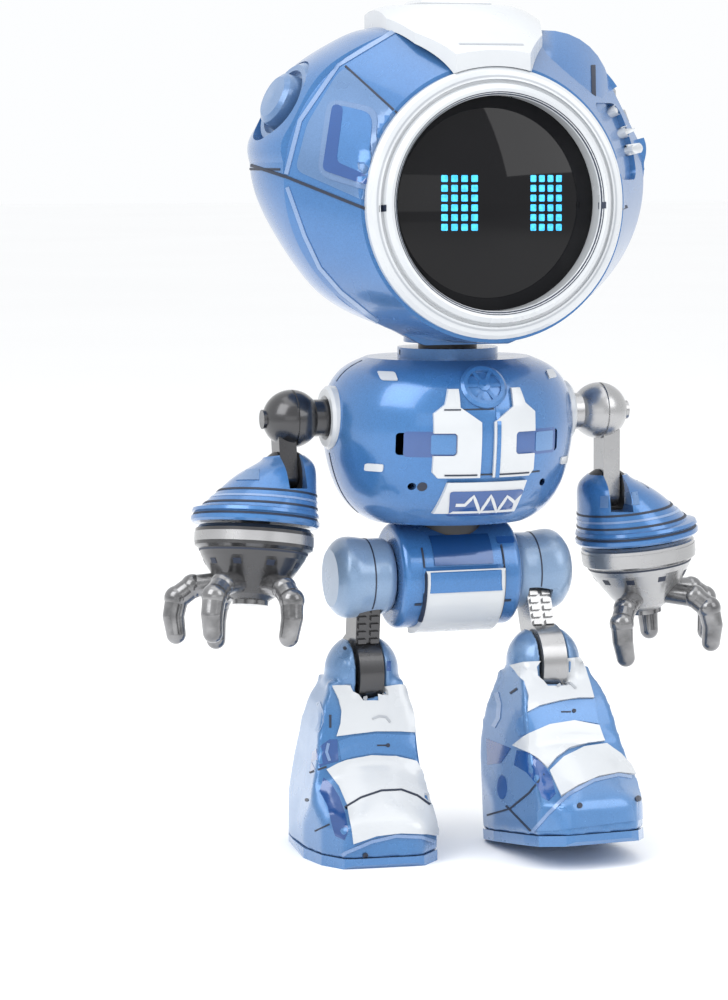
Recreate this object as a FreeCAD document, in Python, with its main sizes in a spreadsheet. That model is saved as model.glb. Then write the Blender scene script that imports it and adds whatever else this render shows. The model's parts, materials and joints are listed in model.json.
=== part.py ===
import FreeCAD
import Part
import Sketcher
import math
import os

from FreeCAD import Placement, Rotation, Vector

# Walking toy robot, millimetres.  +Z is up, the robot faces -Y and its left side is +X.
# The origin is on the floor under the middle of the outline.

doc = FreeCAD.newDocument("WalkingRobot")
dim = doc.addObject("Spreadsheet::Sheet", "Dim")

X_AXIS = Vector(1, 0, 0)
Y_AXIS = Vector(0, 1, 0)
Z_AXIS = Vector(0, 0, 1)


# ---------------------------------------------------------------- driving sizes

SIZES = {
    # head
    "head_bottom": 69.0,
    "head_wide": 93.3,
    "head_top": 112.0,
    "seam_back": 92.4,
    "seam_front": 87.3,
    "head_half_width": 27.0,
    "head_half_depth": 24.2,
    "head_wall": 1.6,
    "face_height": 88.0,
    "face_plane": 18.6,
    "face_radius": 17.7,
    "face_bore": 14.0,
    "face_sleeve": 16.6,
    "ridge_plane": 8.0,
    "ridge_half_width": 25.4,
    "ridge_half_height": 21.6,
    "ridge_lift": 2.8,
    "boss_radius": 6.0,
    "boss_top": 74.4,
    "crest_top": 115.0,
    "key_half_width": 5.0,
    "key_half_depth": 3.6,
    "key_gap": 0.25,
    # torso
    "torso_bottom": 44.9,
    "torso_top": 67.0,
    "torso_half_width": 17.2,
    "torso_half_depth": 16.2,
    "torso_wall": 1.4,
    "collar_radius": 6.85,
    "collar_top": 68.3,
    "neck_radius": 4.0,
    "waist_radius": 3.4,
    "turn_gap": 0.06,
    # arms
    "shoulder_height": 59.0,
    "shoulder_reach": 22.2,
    "ball_radius": 3.9,
    "shaft_radius": 2.5,
    "ring_radius": 4.3,
    "ring_back": 15.2,
    "ring_front": 17.1,
    "elbow_reach": 23.4,
    "elbow_height": 51.3,
    "dome_radius": 3.6,
    "tongue_width": 2.4,
    "elbow_slot": 2.8,
    "elbow_pin_radius": 0.8,
    "bell_reach": 28.0,
    "bell_height": 44.8,
    "bell_radius": 8.6,
    "bell_tilt": 6.5,
    "hand_radius": 7.9,
    # pelvis
    "hip_height": 37.196,
    "pelvis_radius": 7.2,
    "pelvis_half_width": 8.5,
    "pelvis_wall": 1.3,
    "axle_radius": 1.6,
    "socket_radius": 4.6,
    # legs
    "pod_start": 8.8,
    "pod_split": 13.6,
    "pod_end": 16.8,
    "pod_radius": 5.4,
    "link_start": 10.2,
    "link_width": 3.4,
    "link_depth": 4.6,
    "link_length": 13.2,
    "ankle_reach": 11.9,
    "ankle_radius": 5.1,
    "ankle_slot": 4.0,
    "ankle_pin_radius": 1.0,
    # boots, measured from the ankle pin
    "ankle_height": 24.1,
    "boot_outer": 10.0,
    "boot_inner": 8.0,
    "toe_reach": 15.6,
    "heel_reach": 10.8,
    "sole_thickness": 1.4,
    "toe_out": 6.0,
}

for row, (alias, value) in enumerate(SIZES.items(), start=1):
    dim.set(f"A{row}", alias)
    dim.set(f"B{row}", str(value))
    dim.setAlias(f"B{row}", alias)
doc.recompute()

# Pose of the stride, degrees and millimetres.
RIGHT_ARM_SWING = -10.0
LEFT_ARM_SWING = 0.0
LEFT_ARM_DROP = 3.8
RIGHT_LEG_SWING = 7.2
LEFT_LEG_SWING = -24.8
RIGHT_FOOT_PITCH = 0.0
LEFT_FOOT_PITCH = -8.0


def size(alias):
    """The present value of one driving size."""
    return float(dim.get(alias))


# ---------------------------------------------------------------- small helpers

def formula(value):
    """Expression text for a number or for text that names driving sizes."""
    if isinstance(value, str):
        return f"({value})"
    return f"({value:.6g})"


def bind(obj, **values):
    """Bind each property to its formula."""
    for name, value in values.items():
        obj.setExpression(name, formula(value))
    return obj


def locate(obj, x=0, y=0, z=0, rotation=None):
    """Bind the position of a solid and turn it."""
    obj.Placement = Placement(Vector(0, 0, 0), rotation or Rotation())
    for letter, value in zip("xyz", (x, y, z)):
        obj.setExpression(f"Placement.Base.{letter}", formula(value))
    return obj


def block(name, x_range, y_range, z_range):
    """A box between two values on each axis."""
    solid = doc.addObject("Part::Box", name)
    spans = (("Length", x_range), ("Width", y_range), ("Height", z_range))
    for side, (low, high) in spans:
        solid.setExpression(side, f"{formula(high)} - {formula(low)}")
    return locate(solid, x_range[0], y_range[0], z_range[0])


AIM = {
    "x": Rotation(Y_AXIS, 90),
    "y": Rotation(X_AXIS, -90),
    "z": Rotation(),
}


def rod(name, axis, radius, start, length, centre):
    """A cylinder along an axis; centre gives the two other coordinates."""
    solid = doc.addObject("Part::Cylinder", name)
    bind(solid, Radius=radius, Height=length)
    spot = {"x": (start, *centre), "y": (centre[0], start, centre[1]), "z": (*centre, start)}
    return locate(solid, *spot[axis], AIM[axis])


def cone(name, axis, radius_start, radius_end, start, length, centre):
    """A cone along an axis."""
    solid = doc.addObject("Part::Cone", name)
    bind(solid, Radius1=radius_start, Radius2=radius_end, Height=length)
    spot = {"x": (start, *centre), "y": (centre[0], start, centre[1]), "z": (*centre, start)}
    return locate(solid, *spot[axis], AIM[axis])


def ball(name, radius, x, y, z):
    """A sphere."""
    solid = doc.addObject("Part::Sphere", name)
    bind(solid, Radius=radius)
    return locate(solid, x, y, z)


def blend(name, stations, ruled=False, placement=None):
    """A smooth solid through ellipses: (height, half width, half depth, shift x, tilt, shift y)."""
    rings = []
    for count, station in enumerate(stations):
        height, wide, deep, shift, tilt, rise = (list(station) + [0, 0, 0])[:6]
        ring = doc.addObject("Part::Ellipse", f"{name}_ring{count}")
        bind(ring, MajorRadius=wide, MinorRadius=deep)
        locate(ring, shift, rise, height, Rotation(Y_AXIS, tilt))
        rings.append(ring)
    solid = doc.addObject("Part::Loft", name)
    solid.Sections = rings
    solid.Solid = True
    solid.Ruled = ruled
    if placement:
        solid.Placement = placement
    return solid


def rounded_bar(name, x_range, y_range, z_range, radius):
    """A box along Y whose four long edges are rounded."""
    bar = block(f"{name}_bar", x_range, y_range, z_range)
    doc.recompute()
    result = doc.addObject("Part::Fillet", name)
    result.Base = bar
    result.Edges = [(n, radius, radius) for n, edge in enumerate(bar.Shape.Edges, start=1)
                    if edge.BoundBox.YLength > max(edge.BoundBox.XLength, edge.BoundBox.ZLength)]
    return result


def fuse(name, *solids):
    """Join solids."""
    if len(solids) == 1:
        result = doc.addObject("Part::Compound", name)
        result.Links = list(solids)
        return result
    result = doc.addObject("Part::MultiFuse", name)
    result.Shapes = list(solids)
    return result


def cut(name, base, *tools):
    """Take tools away from a base."""
    tool = tools[0] if len(tools) == 1 else fuse(f"{name}_tools", *tools)
    result = doc.addObject("Part::Cut", name)
    result.Base = base
    result.Tool = tool
    return result


def common(name, first, second):
    """Keep what two solids share."""
    result = doc.addObject("Part::Common", name)
    result.Base = first
    result.Tool = second
    return result


def group(name, *solids):
    """Several identical loose solids kept as one piece."""
    result = doc.addObject("Part::Compound", name)
    result.Links = list(solids)
    return result


PLANES = {"xy": "XY_Plane", "xz": "XZ_Plane", "yz": "YZ_Plane"}


def outline_sketch(body, name, plane, corners):
    """A closed outline whose corners are bound to the driving sizes."""
    sketch = body.newObject("Sketcher::SketchObject", name)
    flat = [f for f in body.Origin.OriginFeatures if f.Role == PLANES[plane]][0]
    sketch.AttachmentSupport = (flat, [""])
    sketch.MapMode = "FlatFace"
    count = len(corners)
    values = [tuple(evaluate(v) for v in corner) for corner in corners]
    for index in range(count):
        start = Vector(*values[index], 0)
        end = Vector(*values[(index + 1) % count], 0)
        sketch.addGeometry(Part.LineSegment(start, end))
    for index in range(count):
        sketch.addConstraint(Sketcher.Constraint("Coincident", index, 2, (index + 1) % count, 1))
    for index in range(count):
        for kind, place in (("DistanceX", 0), ("DistanceY", 1)):
            value = values[index][place]
            number = sketch.addConstraint(Sketcher.Constraint(kind, -1, 1, index, 1, value))
            if isinstance(corners[index][place], str):
                sketch.setExpression(f"Constraints[{number}]", corners[index][place])
    return sketch


def evaluate(value):
    """The number behind a size formula."""
    if isinstance(value, str):
        return float(dim.evalExpression(value.replace("Dim.", "")))
    return float(value)


def prism(name, plane, corners, length, midplane=True, reverse=False):
    """A padded outline."""
    body = doc.addObject("PartDesign::Body", name)
    sketch = outline_sketch(body, f"{name}_outline", plane, corners)
    pad = body.newObject("PartDesign::Pad", f"{name}_pad")
    pad.Profile = sketch
    pad.setExpression("Length", formula(length))
    pad.Midplane = midplane
    pad.Reversed = reverse
    return body


def turned(name, corners):
    """An outline (radius, along) turned about the Z axis; corners lie in the XZ plane."""
    body = doc.addObject("PartDesign::Body", name)
    sketch = outline_sketch(body, f"{name}_outline", "xz", corners)
    turn = body.newObject("PartDesign::Revolution", f"{name}_turn")
    turn.Profile = sketch
    turn.ReferenceAxis = (sketch, ["V_Axis"])
    turn.Angle = 360
    return body


NODES = {}


def keep(node, label, solid, placement=None):
    """Name a finished piece and put it in its place."""
    solid.Label = label
    if placement:
        solid.Placement = placement
    NODES[node] = solid
    return solid


# ---------------------------------------------------------------- head

LOWER_LEVELS = ((0.0, 0.22, 7.0), (0.06, 0.33, 6.7), (0.14, 0.49, 5.5), (0.30, 0.715, 4.0),
                (0.44, 0.81, 3.0), (0.65, 0.915, 1.5), (0.86, 0.985, 0.4), (1.0, 1.0, 0.0))
UPPER_LEVELS = ((0.0, 1.0), (0.25, 0.97), (0.465, 0.895), (0.626, 0.82), (0.754, 0.715),
                (0.861, 0.59), (0.947, 0.45), (1.0, 0.32))


def head_levels(grow):
    """Ellipse stations of the head's round back, grown by a distance; the lower ones lean forward."""
    wide = "Dim.head_half_width"
    deep = "Dim.head_half_depth"
    below = []
    for part_up, scale, forward in LOWER_LEVELS:
        z = f"Dim.head_bottom - {grow} + (Dim.head_wide - Dim.head_bottom + {grow}) * {part_up}"
        below.append((z, f"{wide} * {scale} + {grow}", f"{deep} * {scale} + {grow}", 0, 0, -forward))
    above = []
    for part_up, scale in UPPER_LEVELS:
        z = f"Dim.head_wide + (Dim.head_top + {grow} - Dim.head_wide) * {part_up}"
        above.append((z, f"{wide} * {scale} + {grow}", f"{deep} * {scale} + {grow}"))
    return below, above


def head_solid(name, grow):
    """The closed form of the head: a round back and a flat-flanked front that ends in a circle."""
    below, above = head_levels(grow)
    bowl = blend(f"{name}_bowl", below)
    dome = blend(f"{name}_dome", above)
    behind = block(f"{name}_behind", (-60, 60), ("-Dim.ridge_plane", 60), (20, 160))
    back = common(f"{name}_back", fuse(f"{name}_round", bowl, dome), behind)
    face_up = Placement(Vector(0, 0, size("face_height")), Rotation(X_AXIS, 90))
    front = blend(f"{name}_front", (
        ("Dim.face_plane", f"Dim.face_sleeve + Dim.head_wall + {grow}",
         f"Dim.face_sleeve + Dim.head_wall + {grow}"),
        ("Dim.ridge_plane", f"Dim.ridge_half_width + {grow}", f"Dim.ridge_half_height + {grow}",
         0, 0, "Dim.ridge_lift")),
        ruled=True, placement=face_up)
    right_side = block(f"{name}_right_side", (-60, 0), (-60, 60), (20, 160))
    right = common(f"{name}_right", fuse(f"{name}_whole", back, front), right_side)
    left = doc.addObject("Part::Mirroring", f"{name}_left")
    left.Source = right
    left.Normal = X_AXIS
    return fuse(name, right, left)


head_outer = head_solid("HeadOuter", 0.0)
head_inner = head_solid("HeadInner", "-1.6")
face_cut = block("FaceCut", (-40, 40), (-60, "-Dim.face_plane"), (50, 130))
face_bore = rod("FaceBore", "y", "Dim.face_sleeve", -30, 16, (0, "Dim.face_height"))
head_hollow = cut("HeadHollow", head_outer, head_inner, face_cut, face_bore)

# The seam is level round the back and dips past the ridge to meet the face ring a little lower.
seam_line = ((-45, "Dim.seam_front"), (-19.1, "Dim.seam_front"), ("-Dim.ridge_plane - 1.0", "Dim.seam_back"),
             (45, "Dim.seam_back"))
above_seam = prism("AboveSeam", "yz", seam_line + ((45, 130), (-45, 130)), 80)
below_seam = prism("BelowSeam", "yz", seam_line + ((45, 40), (-45, 40)), 80)

# Ears: stations run along the ear's own axis, which is then aimed outward and a little up.
EAR_AIM_RIGHT = Rotation(Vector(0, 0, 1), Vector(-0.90, -0.12, 0.42))
EAR_AIM_LEFT = Rotation(Vector(0, 0, 1), Vector(0.92, -0.10, 0.38))
ear_right_place = Placement(Vector(-21.4, -0.5, 100.4), EAR_AIM_RIGHT)
ear_left_place = Placement(Vector(21.6, -1.5, 99.4), EAR_AIM_LEFT)

ear_knob = turned("EarKnobForm", ((0, -2.0), (6.2, -2.0), (6.2, 1.4), (5.4, 2.2), (4.6, 2.2),
                                  (4.6, 1.5), (3.9, 1.5), (3.6, 3.4), (2.9, 3.9), (0, 4.1)))
ear_knob.Placement = ear_right_place
ear_seat_right = turned("EarSeatRight", ((0, -2.0), (6.2, -2.0), (6.2, 9.0), (0, 9.0)))
ear_seat_right.Placement = ear_right_place
keep("ear_knob_right", "Right ear knob", ear_knob, ear_right_place)

fan_hub = turned("FanHub", ((0, -2.0), (7.4, -2.0), (7.4, 0.9), (6.8, 1.5), (5.9, 1.5),
                            (5.9, 0.6), (2.9, 0.6), (2.5, 2.6), (0, 2.8)))
fan_blades = []
for index in range(8):
    blade = block(f"FanBlade{index}", (2.4, 5.9), (-0.85, 0.85), (0.5, 2.1))
    blade.Placement = Placement(Vector(0, 0, 0), Rotation(Z_AXIS, 45 * index)).multiply(
        Placement(Vector(2.4, -0.85, 0.5), Rotation()))
    for letter in "xyz":
        blade.setExpression(f"Placement.Base.{letter}", None)
    fan_blades.append(blade)
fan = fuse("EarFan", fan_hub, *fan_blades)
ear_seat_left = turned("EarSeatLeft", ((0, -2.0), (7.4, -2.0), (7.4, 9.0), (0, 9.0)))
ear_seat_left.Placement = ear_left_place
keep("ear_fan_left", "Left ear fan", fan, ear_left_place)

# Crest: a faceted cap over the crown, with the key standing in its middle.
crest_outline = ((-5.6, -19.8), (4.6, -19.8), (8.6, -13.5), (10.8, -6.5), (10.2, 5.0),
                 (6.0, 13.0), (-6.0, 13.0), (-10.2, 5.0), (-10.8, -6.5), (-9.0, -13.0))
crest_prism = prism("CrestPrism", "xy", crest_outline, 124, False)
crest_form = blend("CrestForm", (
    (96.0, 27.8, 25.2), (102.0, 25.4, 23.4), (107.2, 20.6, 20.6), (111.2, 14.2, 14.2),
    (113.2, 11.2, 11.2), ("Dim.crest_top - 0.8", 8.9, 8.9)))
crest_block = common("CrestBlock", crest_prism, crest_form)
ring_room = rod("RingRoom", "y", "Dim.face_radius + 0.05", -40, 25, (0, "Dim.face_height"))
key_hole = block("KeyHole", ("-Dim.key_half_width - Dim.key_gap", "Dim.key_half_width + Dim.key_gap"),
                 ("-Dim.key_half_depth - Dim.key_gap", "Dim.key_half_depth + Dim.key_gap"),
                 (104, 120))
crest_off_back = cut("CrestOffBack", crest_block, doc.getObject("HeadOuter_round"))
crest_off_front = cut("CrestOffFront", crest_off_back, doc.getObject("HeadOuter_front"))
keep("crest_panel", "Crest panel", cut("CrestPanel", crest_off_front, ring_room, key_hole))

key_pad = block("KeyPad", ("-Dim.key_half_width", "Dim.key_half_width"),
                ("-Dim.key_half_depth", "Dim.key_half_depth"), (111.2, "Dim.crest_top"))
key_rim = doc.addObject("Part::Chamfer", "KeyRim")
doc.recompute()
key_rim.Base = key_pad
top_edges = [n for n, e in enumerate(key_pad.Shape.Edges, start=1)
             if abs(e.BoundBox.ZMin - size("crest_top")) < 1e-4]
key_rim.Edges = [(n, 0.4, 0.4) for n in top_edges]
key_stem = rod("KeyStem", "z", 1.1, 102.9, 8.4, (0, 0.6))
keep("crest_key", "Crest touch key", fuse("CrestKey", key_rim, key_stem))

# Battery door: a patch of the lower back shell.
door_room = block("DoorRoom", (-9.6, 9.6), (12, 40), (77.5, 89.4))
door_patch = common("DoorPatch", head_hollow, door_room)
SCREW_SPOTS_HEAD = ((-15.5, 84.5), (15.5, 84.5), (-11.5, 101.5), (11.5, 101.5), (0, 79.3))
head_screw_rods = []
for index, (across, height) in enumerate(SCREW_SPOTS_HEAD):
    deep = 10.0 if index < 4 else 12.0
    head_screw_rods.append(rod(f"HeadScrewHole{index}", "y", 1.2, deep, 30, (across, height)))

# Rounded window recesses on the front flanks.
WINDOW_AZIMUTH = 53
window_floor = head_solid("WindowFloor", "-0.9")
window_cuts = []
for mark, way in (("Right", -1), ("Left", 1)):
    opening = rounded_bar(f"Window{mark}", (-4.5, 4.5), (-45, -8), (91.0, 101.2), 1.8)
    turned_opening = fuse(f"Window{mark}Turned", opening)
    turned_opening.Placement = Placement(Vector(0, 0, 0), Rotation(Z_AXIS, way * WINDOW_AZIMUTH))
    window_cuts.append(cut(f"Window{mark}Pocket", turned_opening, window_floor))

# Power switch slot high on the back.
switch_slot = block("SwitchSlot", (-3.2, 3.2), (14, 40), (95.4, 98.2))
switch_tab = block("SwitchTab", (-1.4, 1.4), (19.4, 24.1), (95.6, 98.0))
switch_ribs = [block(f"SwitchRib{n}", (-1.15 + 0.9 * n, -0.65 + 0.9 * n), (24.1, 24.45), (95.6, 98.0))
               for n in range(3)]
switch_flange = block("SwitchFlange", (-2.4, 2.4), (18.4, 19.5), (94.4, 99.2))
keep("power_switch", "Power switch slider",
     fuse("PowerSwitch", switch_tab, switch_flange, *switch_ribs))

upper_half = common("UpperHalf", head_hollow, above_seam)
keep("head_upper_shell", "Head upper shell",
     cut("HeadUpper", upper_half, ear_seat_right, ear_seat_left, key_hole, switch_slot,
         head_screw_rods[2], head_screw_rods[3], *window_cuts))
neck_hole = rod("NeckHole", "z", "Dim.neck_radius + Dim.turn_gap", 60, 18, (0, 0))
lower_half = common("LowerHalf", head_hollow, below_seam)
neck_boss = rod("NeckBoss", "z", "Dim.boss_radius", "Dim.head_bottom", "Dim.boss_top - Dim.head_bottom", (0, 0))
keep("head_lower_shell", "Head lower shell",
     cut("HeadLower", fuse("LowerWithBoss", lower_half, neck_boss), ear_seat_left, ear_seat_right,
         door_room, neck_hole, head_screw_rods[0], head_screw_rods[1]))
keep("battery_door", "Battery door", cut("BatteryDoor", door_patch, head_screw_rods[4]))

# Screws sit just under the outer skin of each hole.
screw_room = head_solid("ScrewRoom", "-0.35")
screw_keep = cut("ScrewKeep", screw_room, head_inner)
screw_parts = []
for index, (across, height) in enumerate(SCREW_SPOTS_HEAD):
    shank = rod(f"HeadScrew{index}", "y", 1.2, 10, 30, (across, height))
    screw_parts.append(common(f"HeadScrewBody{index}", shank, screw_keep))
keep("head_screws", "Head and door screws", group("HeadScrews", *screw_parts))

# Face ring, visor and eyes look along -Y.
FACE_AIM = Rotation(X_AXIS, 90)
face_place = Placement(Vector(0, 0, 88.0), FACE_AIM)
face_ring = turned("FaceRing", (
    ("Dim.face_bore", "Dim.face_plane - 4.2"), ("Dim.face_sleeve", "Dim.face_plane - 4.2"),
    ("Dim.face_sleeve", "Dim.face_plane"), ("Dim.face_radius", "Dim.face_plane"),
    ("Dim.face_radius", "Dim.face_plane + 0.9"), ("Dim.face_radius - 0.5", "Dim.face_plane + 1.5"),
    ("Dim.face_radius - 1.6", "Dim.face_plane + 1.8"),
    ("Dim.face_radius - 1.7", "Dim.face_plane + 1.4"),
    ("Dim.face_radius - 2.0", "Dim.face_plane + 1.4"),
    ("Dim.face_radius - 2.2", "Dim.face_plane + 2.2"),
    ("Dim.face_radius - 2.8", "Dim.face_plane + 2.7"),
    ("Dim.face_bore + 0.3", "Dim.face_plane + 2.5"), ("Dim.face_bore", "Dim.face_plane + 2.1")))
keep("face_ring", "Face ring", face_ring, face_place)

lens_front = ball("LensFront", 38.5, 0, 17.7, "Dim.face_height")
lens_back = ball("LensBack", 37.1, 0, 17.7, "Dim.face_height")
lens_rod = rod("LensRod", "y", "Dim.face_bore", -24, 8, (0, "Dim.face_height"))
keep("visor_lens", "Visor lens", cut("VisorLens", common("LensCap", lens_front, lens_rod), lens_back))

keep("led_board", "LED board",
     rod("LedBoard", "y", "Dim.face_bore", -15.9, 1.2, (0, "Dim.face_height")))
EYE_CENTRES = (-6.2, 6.2)
DOT_PITCH = 1.16
leds = []
for eye in EYE_CENTRES:
    for column in range(4):
        for row in range(6):
            x = eye + (column - 1.5) * DOT_PITCH
            z = 86.8 + (row - 2.5) * DOT_PITCH
            leds.append(block(f"Led{len(leds)}", (x - 0.4, x + 0.4), (-16.3, -15.9),
                              (z - 0.4, z + 0.4)))
keep("led_matrix", "LED dots", group("LedMatrix", *leds))

# Inner frame spans the cavity; boards and cells mount on it.
frame_slab = block("FrameSlab", (-40, 40), (-0.2, 1.4), (76, 100))
frame_plate = common("FramePlate", head_inner, frame_slab)
keep("inner_frame", "Inner frame", cut("InnerFrame", frame_plate, ear_seat_right, ear_seat_left))
keep("main_board", "Main board", block("MainBoard", (-15, 3), (-1.4, -0.2), (79, 98)))
speaker_can = rod("SpeakerCan", "y", 6.6, -4.6, 4.4, (11.2, 86))
speaker_lip = rod("SpeakerLip", "y", 5.6, -5.4, 0.8, (11.2, 86))
keep("speaker", "Speaker", fuse("Speaker", speaker_can, speaker_lip))
cells = [rod(f"Cell{n}", "x", 5.8, -8.1 + 5.4 * n, 5.4, (8.0, 83.6)) for n in range(3)]
keep("battery_cells", "Button cells", group("BatteryCells", *cells))
tray_block = block("TrayBlock", (-9.2, 9.2), (1.4, 8.0), (76.8, 90.4))
tray_keep = cut("TrayFrame", tray_block, block("TrayInner", (-8.1, 8.1), (2.2, 20), (77.8, 89.4)))
keep("battery_tray", "Battery tray", tray_keep)
keep("tact_switch", "Tact switch", block("TactSwitch", (-2.2, 2.2), (-1.2, 4.6), (100, 102)))

# ---------------------------------------------------------------- torso

def torso_form(name, grow):
    """The rounded pot of the chest, grown by a distance."""
    wide = "Dim.torso_half_width"
    deep = "Dim.torso_half_depth"
    levels = ((0.0, 0.64), (0.07, 0.775), (0.17, 0.875), (0.33, 0.955), (0.55, 1.0), (0.75, 0.98),
              (0.86, 0.92), (0.95, 0.80), (1.0, 0.66))
    stations = []
    for part_up, scale in levels:
        z = (f"Dim.torso_bottom - {grow} + "
             f"(Dim.torso_top - Dim.torso_bottom + 2 * {grow}) * {part_up}")
        stations.append((z, f"{wide} * {scale} + {grow}", f"{deep} * {scale} + {grow}"))
    return blend(name, stations)


torso_outer = torso_form("TorsoOuter", 0.0)
torso_inner = torso_form("TorsoInner", "(-Dim.torso_wall)")
collar = rod("Collar", "z", "Dim.collar_radius", 62, "Dim.collar_top - 62", (0, 0))
torso_body = fuse("TorsoSolid", torso_outer, collar)
neck_bore = rod("NeckBore", "z", "Dim.neck_radius", 60, 12, (0, 0))
waist_bore = rod("WaistBore", "z", "Dim.waist_radius", 40, 8, (0, 0))
ring_cuts = []
for side, sign in (("Right", -1), ("Left", 1)):
    outer_start = "-Dim.ring_back - 5" if sign < 0 else "Dim.ring_back"
    ring_cuts.append(rod(f"RingCut{side}", "x", "Dim.ring_radius", outer_start, 5.0,
                         (0, "Dim.shoulder_height")))
    inner_start = "-Dim.ring_back" if sign < 0 else "12.3"
    ring_cuts.append(rod(f"BushCut{side}", "x", 3.1, inner_start, "Dim.ring_back - 12.3",
                         (0, "Dim.shoulder_height")))
TORSO_SCREWS = ((-8.5, 61.0), (8.5, 61.0), (0, 50.0))
torso_screw_holes = [rod(f"TorsoScrewHole{n}", "y", 1.1, 8.0, 20, spot)
                     for n, spot in enumerate(TORSO_SCREWS)]
torso_window_floor = torso_form("TorsoWindowFloor", "(-0.7)")
torso_window_bars = [rounded_bar("TorsoWindowRight", (-11.4, -4.1), (-40, 0), (54.8, 57.8), 0.5),
                     rounded_bar("TorsoWindowLeft", (4.1, 11.4), (-40, 0), (54.8, 57.8), 0.5)]
torso_window_cuts = [cut(f"TorsoPocket{n}", bar, torso_window_floor)
                     for n, bar in enumerate(torso_window_bars)]
sound_holes = [rod(f"SoundHole{n}", "y", 0.5, -30, 30, spot)
               for n, spot in enumerate(((-9.2, 50.6), (9.2, 50.6)))]
torso_hollow = cut("TorsoHollow", torso_body, torso_inner, neck_bore, waist_bore,
                   *ring_cuts, *torso_window_cuts, *sound_holes)
front_space = block("FrontSpace", (-40, 40), (-40, 0), (0, 130))
back_space = block("BackSpace", (-40, 40), (0, 40), (0, 130))
keep("torso_front_shell", "Torso front shell", common("TorsoFront", torso_hollow, front_space))
torso_back = common("TorsoBackHalf", torso_hollow, back_space)
keep("torso_back_shell", "Torso back shell", cut("TorsoBack", torso_back, *torso_screw_holes))
torso_skin = cut("TorsoSkin", torso_form("TorsoSkinOut", "(-0.3)"), torso_form("TorsoSkinIn", "(-1.4)"))
torso_screws = [common(f"TorsoScrewBody{n}", rod(f"TorsoScrew{n}", "y", 1.1, 8.0, 20, spot), torso_skin)
                for n, spot in enumerate(TORSO_SCREWS)]
keep("torso_screws", "Torso screws", group("TorsoScrews", *torso_screws))

# Raised white plates on the chest: outlines pushed through a grown copy of the pot.
plate_skin = cut("PlateSkin", torso_form("PlateSkinOut", 0.45), torso_body)
half_plate = ((0.9, 51.8), (6.4, 51.8), (7.1, 52.6), (7.1, 60.4), (5.6, 61.6), (5.0, 63.6),
              (3.7, 63.6), (3.7, 61.2), (0.9, 59.2))
chest_halves = []
for side, sign in (("Left", 1), ("Right", -1)):
    corners = tuple((sign * x, z) for x, z in half_plate)
    panel = prism(f"ChestOutline{side}", "xz", corners, 30, False)
    chest_halves.append(common(f"ChestHalf{side}", panel, plate_skin))
disc_place = Placement(Vector(0, -13.95, 63.4), Rotation(X_AXIS, 90 - 31))
disc_seat = turned("DiscSeat", ((0, -2.2), (3.3, -2.2), (3.3, 6), (0, 6)))
disc_seat.Placement = disc_place
keep("chest_plates", "Chest plates",
     cut("ChestPlates", group("ChestPair", *chest_halves), disc_seat, *torso_window_bars))
chest_disc = turned("ChestDisc", ((0, -1.2), (3.2, -1.2), (3.2, 0.9), (2.8, 1.2), (2.3, 1.2),
                                  (2.2, 0.7), (1.0, 0.7), (0.8, 1.2), (0, 1.3)))
disc_blades = []
for index in range(6):
    blade = block(f"DiscBlade{index}", (0.6, 2.3), (-0.25, 0.25), (0.6, 1.1))
    blade.Placement = Placement(Vector(0, 0, 0), Rotation(Z_AXIS, 60 * index)).multiply(
        Placement(Vector(0.6, -0.25, 0.6), Rotation()))
    for letter in "xyz":
        blade.setExpression(f"Placement.Base.{letter}", None)
    disc_blades.append(blade)
disc_form = fuse("DiscForm", chest_disc, *disc_blades)
disc_form.Placement = disc_place
keep("chest_disc", "Chest disc", cut("ChestDiscSeated", disc_form, torso_outer))
belly_corners = ((-6.3, 46.9), (4.9, 46.9), (6.1, 51.2), (-5.1, 51.2))
belly_outline = prism("BellyOutline", "xz", belly_corners, 30, False)
belly_skin = cut("BellySkin", torso_form("BellySkinOut", 0.6), torso_body)
keep("belly_plate", "Belly plate", common("BellyPlate", belly_outline, belly_skin))

# Neck post with its retaining disc; the head turns on it.
neck_stem = rod("NeckStem", "z", "Dim.neck_radius", 65.2, "Dim.boss_top - 65", (0, 0))
neck_foot = rod("NeckFoot", "z", 5.6, 64.2, 1.4, (0, 0))
neck_disc = rod("NeckDisc", "z", 5.4, "Dim.boss_top + 0.15", 1.2, (0, 0))
neck_foot_seated = common("NeckFootSeated", neck_foot, torso_inner)
keep("neck_post", "Neck post", fuse("NeckPost", neck_stem, neck_foot_seated, neck_disc))

waist_stem = rod("WaistStem", "z", "Dim.waist_radius", 40.2, 6.9, (0, 0))
waist_disc = rod("WaistDisc", "z", 4.4, 39.6, 1.2, (0, 0))
waist_top = rod("WaistTop", "z", 5.6, "Dim.torso_bottom + Dim.torso_wall", 1.0, (0, 0))
keep("waist_post", "Waist post", fuse("WaistPost", waist_stem, waist_disc, waist_top))

bushings = []
for side, sign in (("Right", -1), ("Left", 1)):
    profile = (("Dim.shaft_radius + Dim.turn_gap", 12.3), (3.1, 12.3), (3.1, "Dim.ring_back"),
               ("Dim.ring_radius", "Dim.ring_back"), ("Dim.ring_radius", "Dim.ring_front"),
               ("Dim.ring_radius - 0.4", "Dim.ring_front + 0.4"),
               ("Dim.shaft_radius + 0.5", "Dim.ring_front + 0.4"),
               ("Dim.shaft_radius + Dim.turn_gap", "Dim.ring_front - 0.1"))
    bushing = turned(f"Bushing{side}", profile)
    bushing.Placement = Placement(Vector(0, 0, 59.0), Rotation(Y_AXIS, 90 * sign))
    bushings.append(bushing)
keep("shoulder_bushings", "Shoulder bushings", group("ShoulderBushings", *bushings))


# ---------------------------------------------------------------- arms

CLAW_PATH = ((2.2, -7.6), (7.8, -8.5), (9.8, -10.2), (10.1, -12.6), (9.6, -15.0))
CLAW_ANGLES = {"right": (-18, 44, 106, 168), "left": (-41, 44, 97, 156)}


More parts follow.
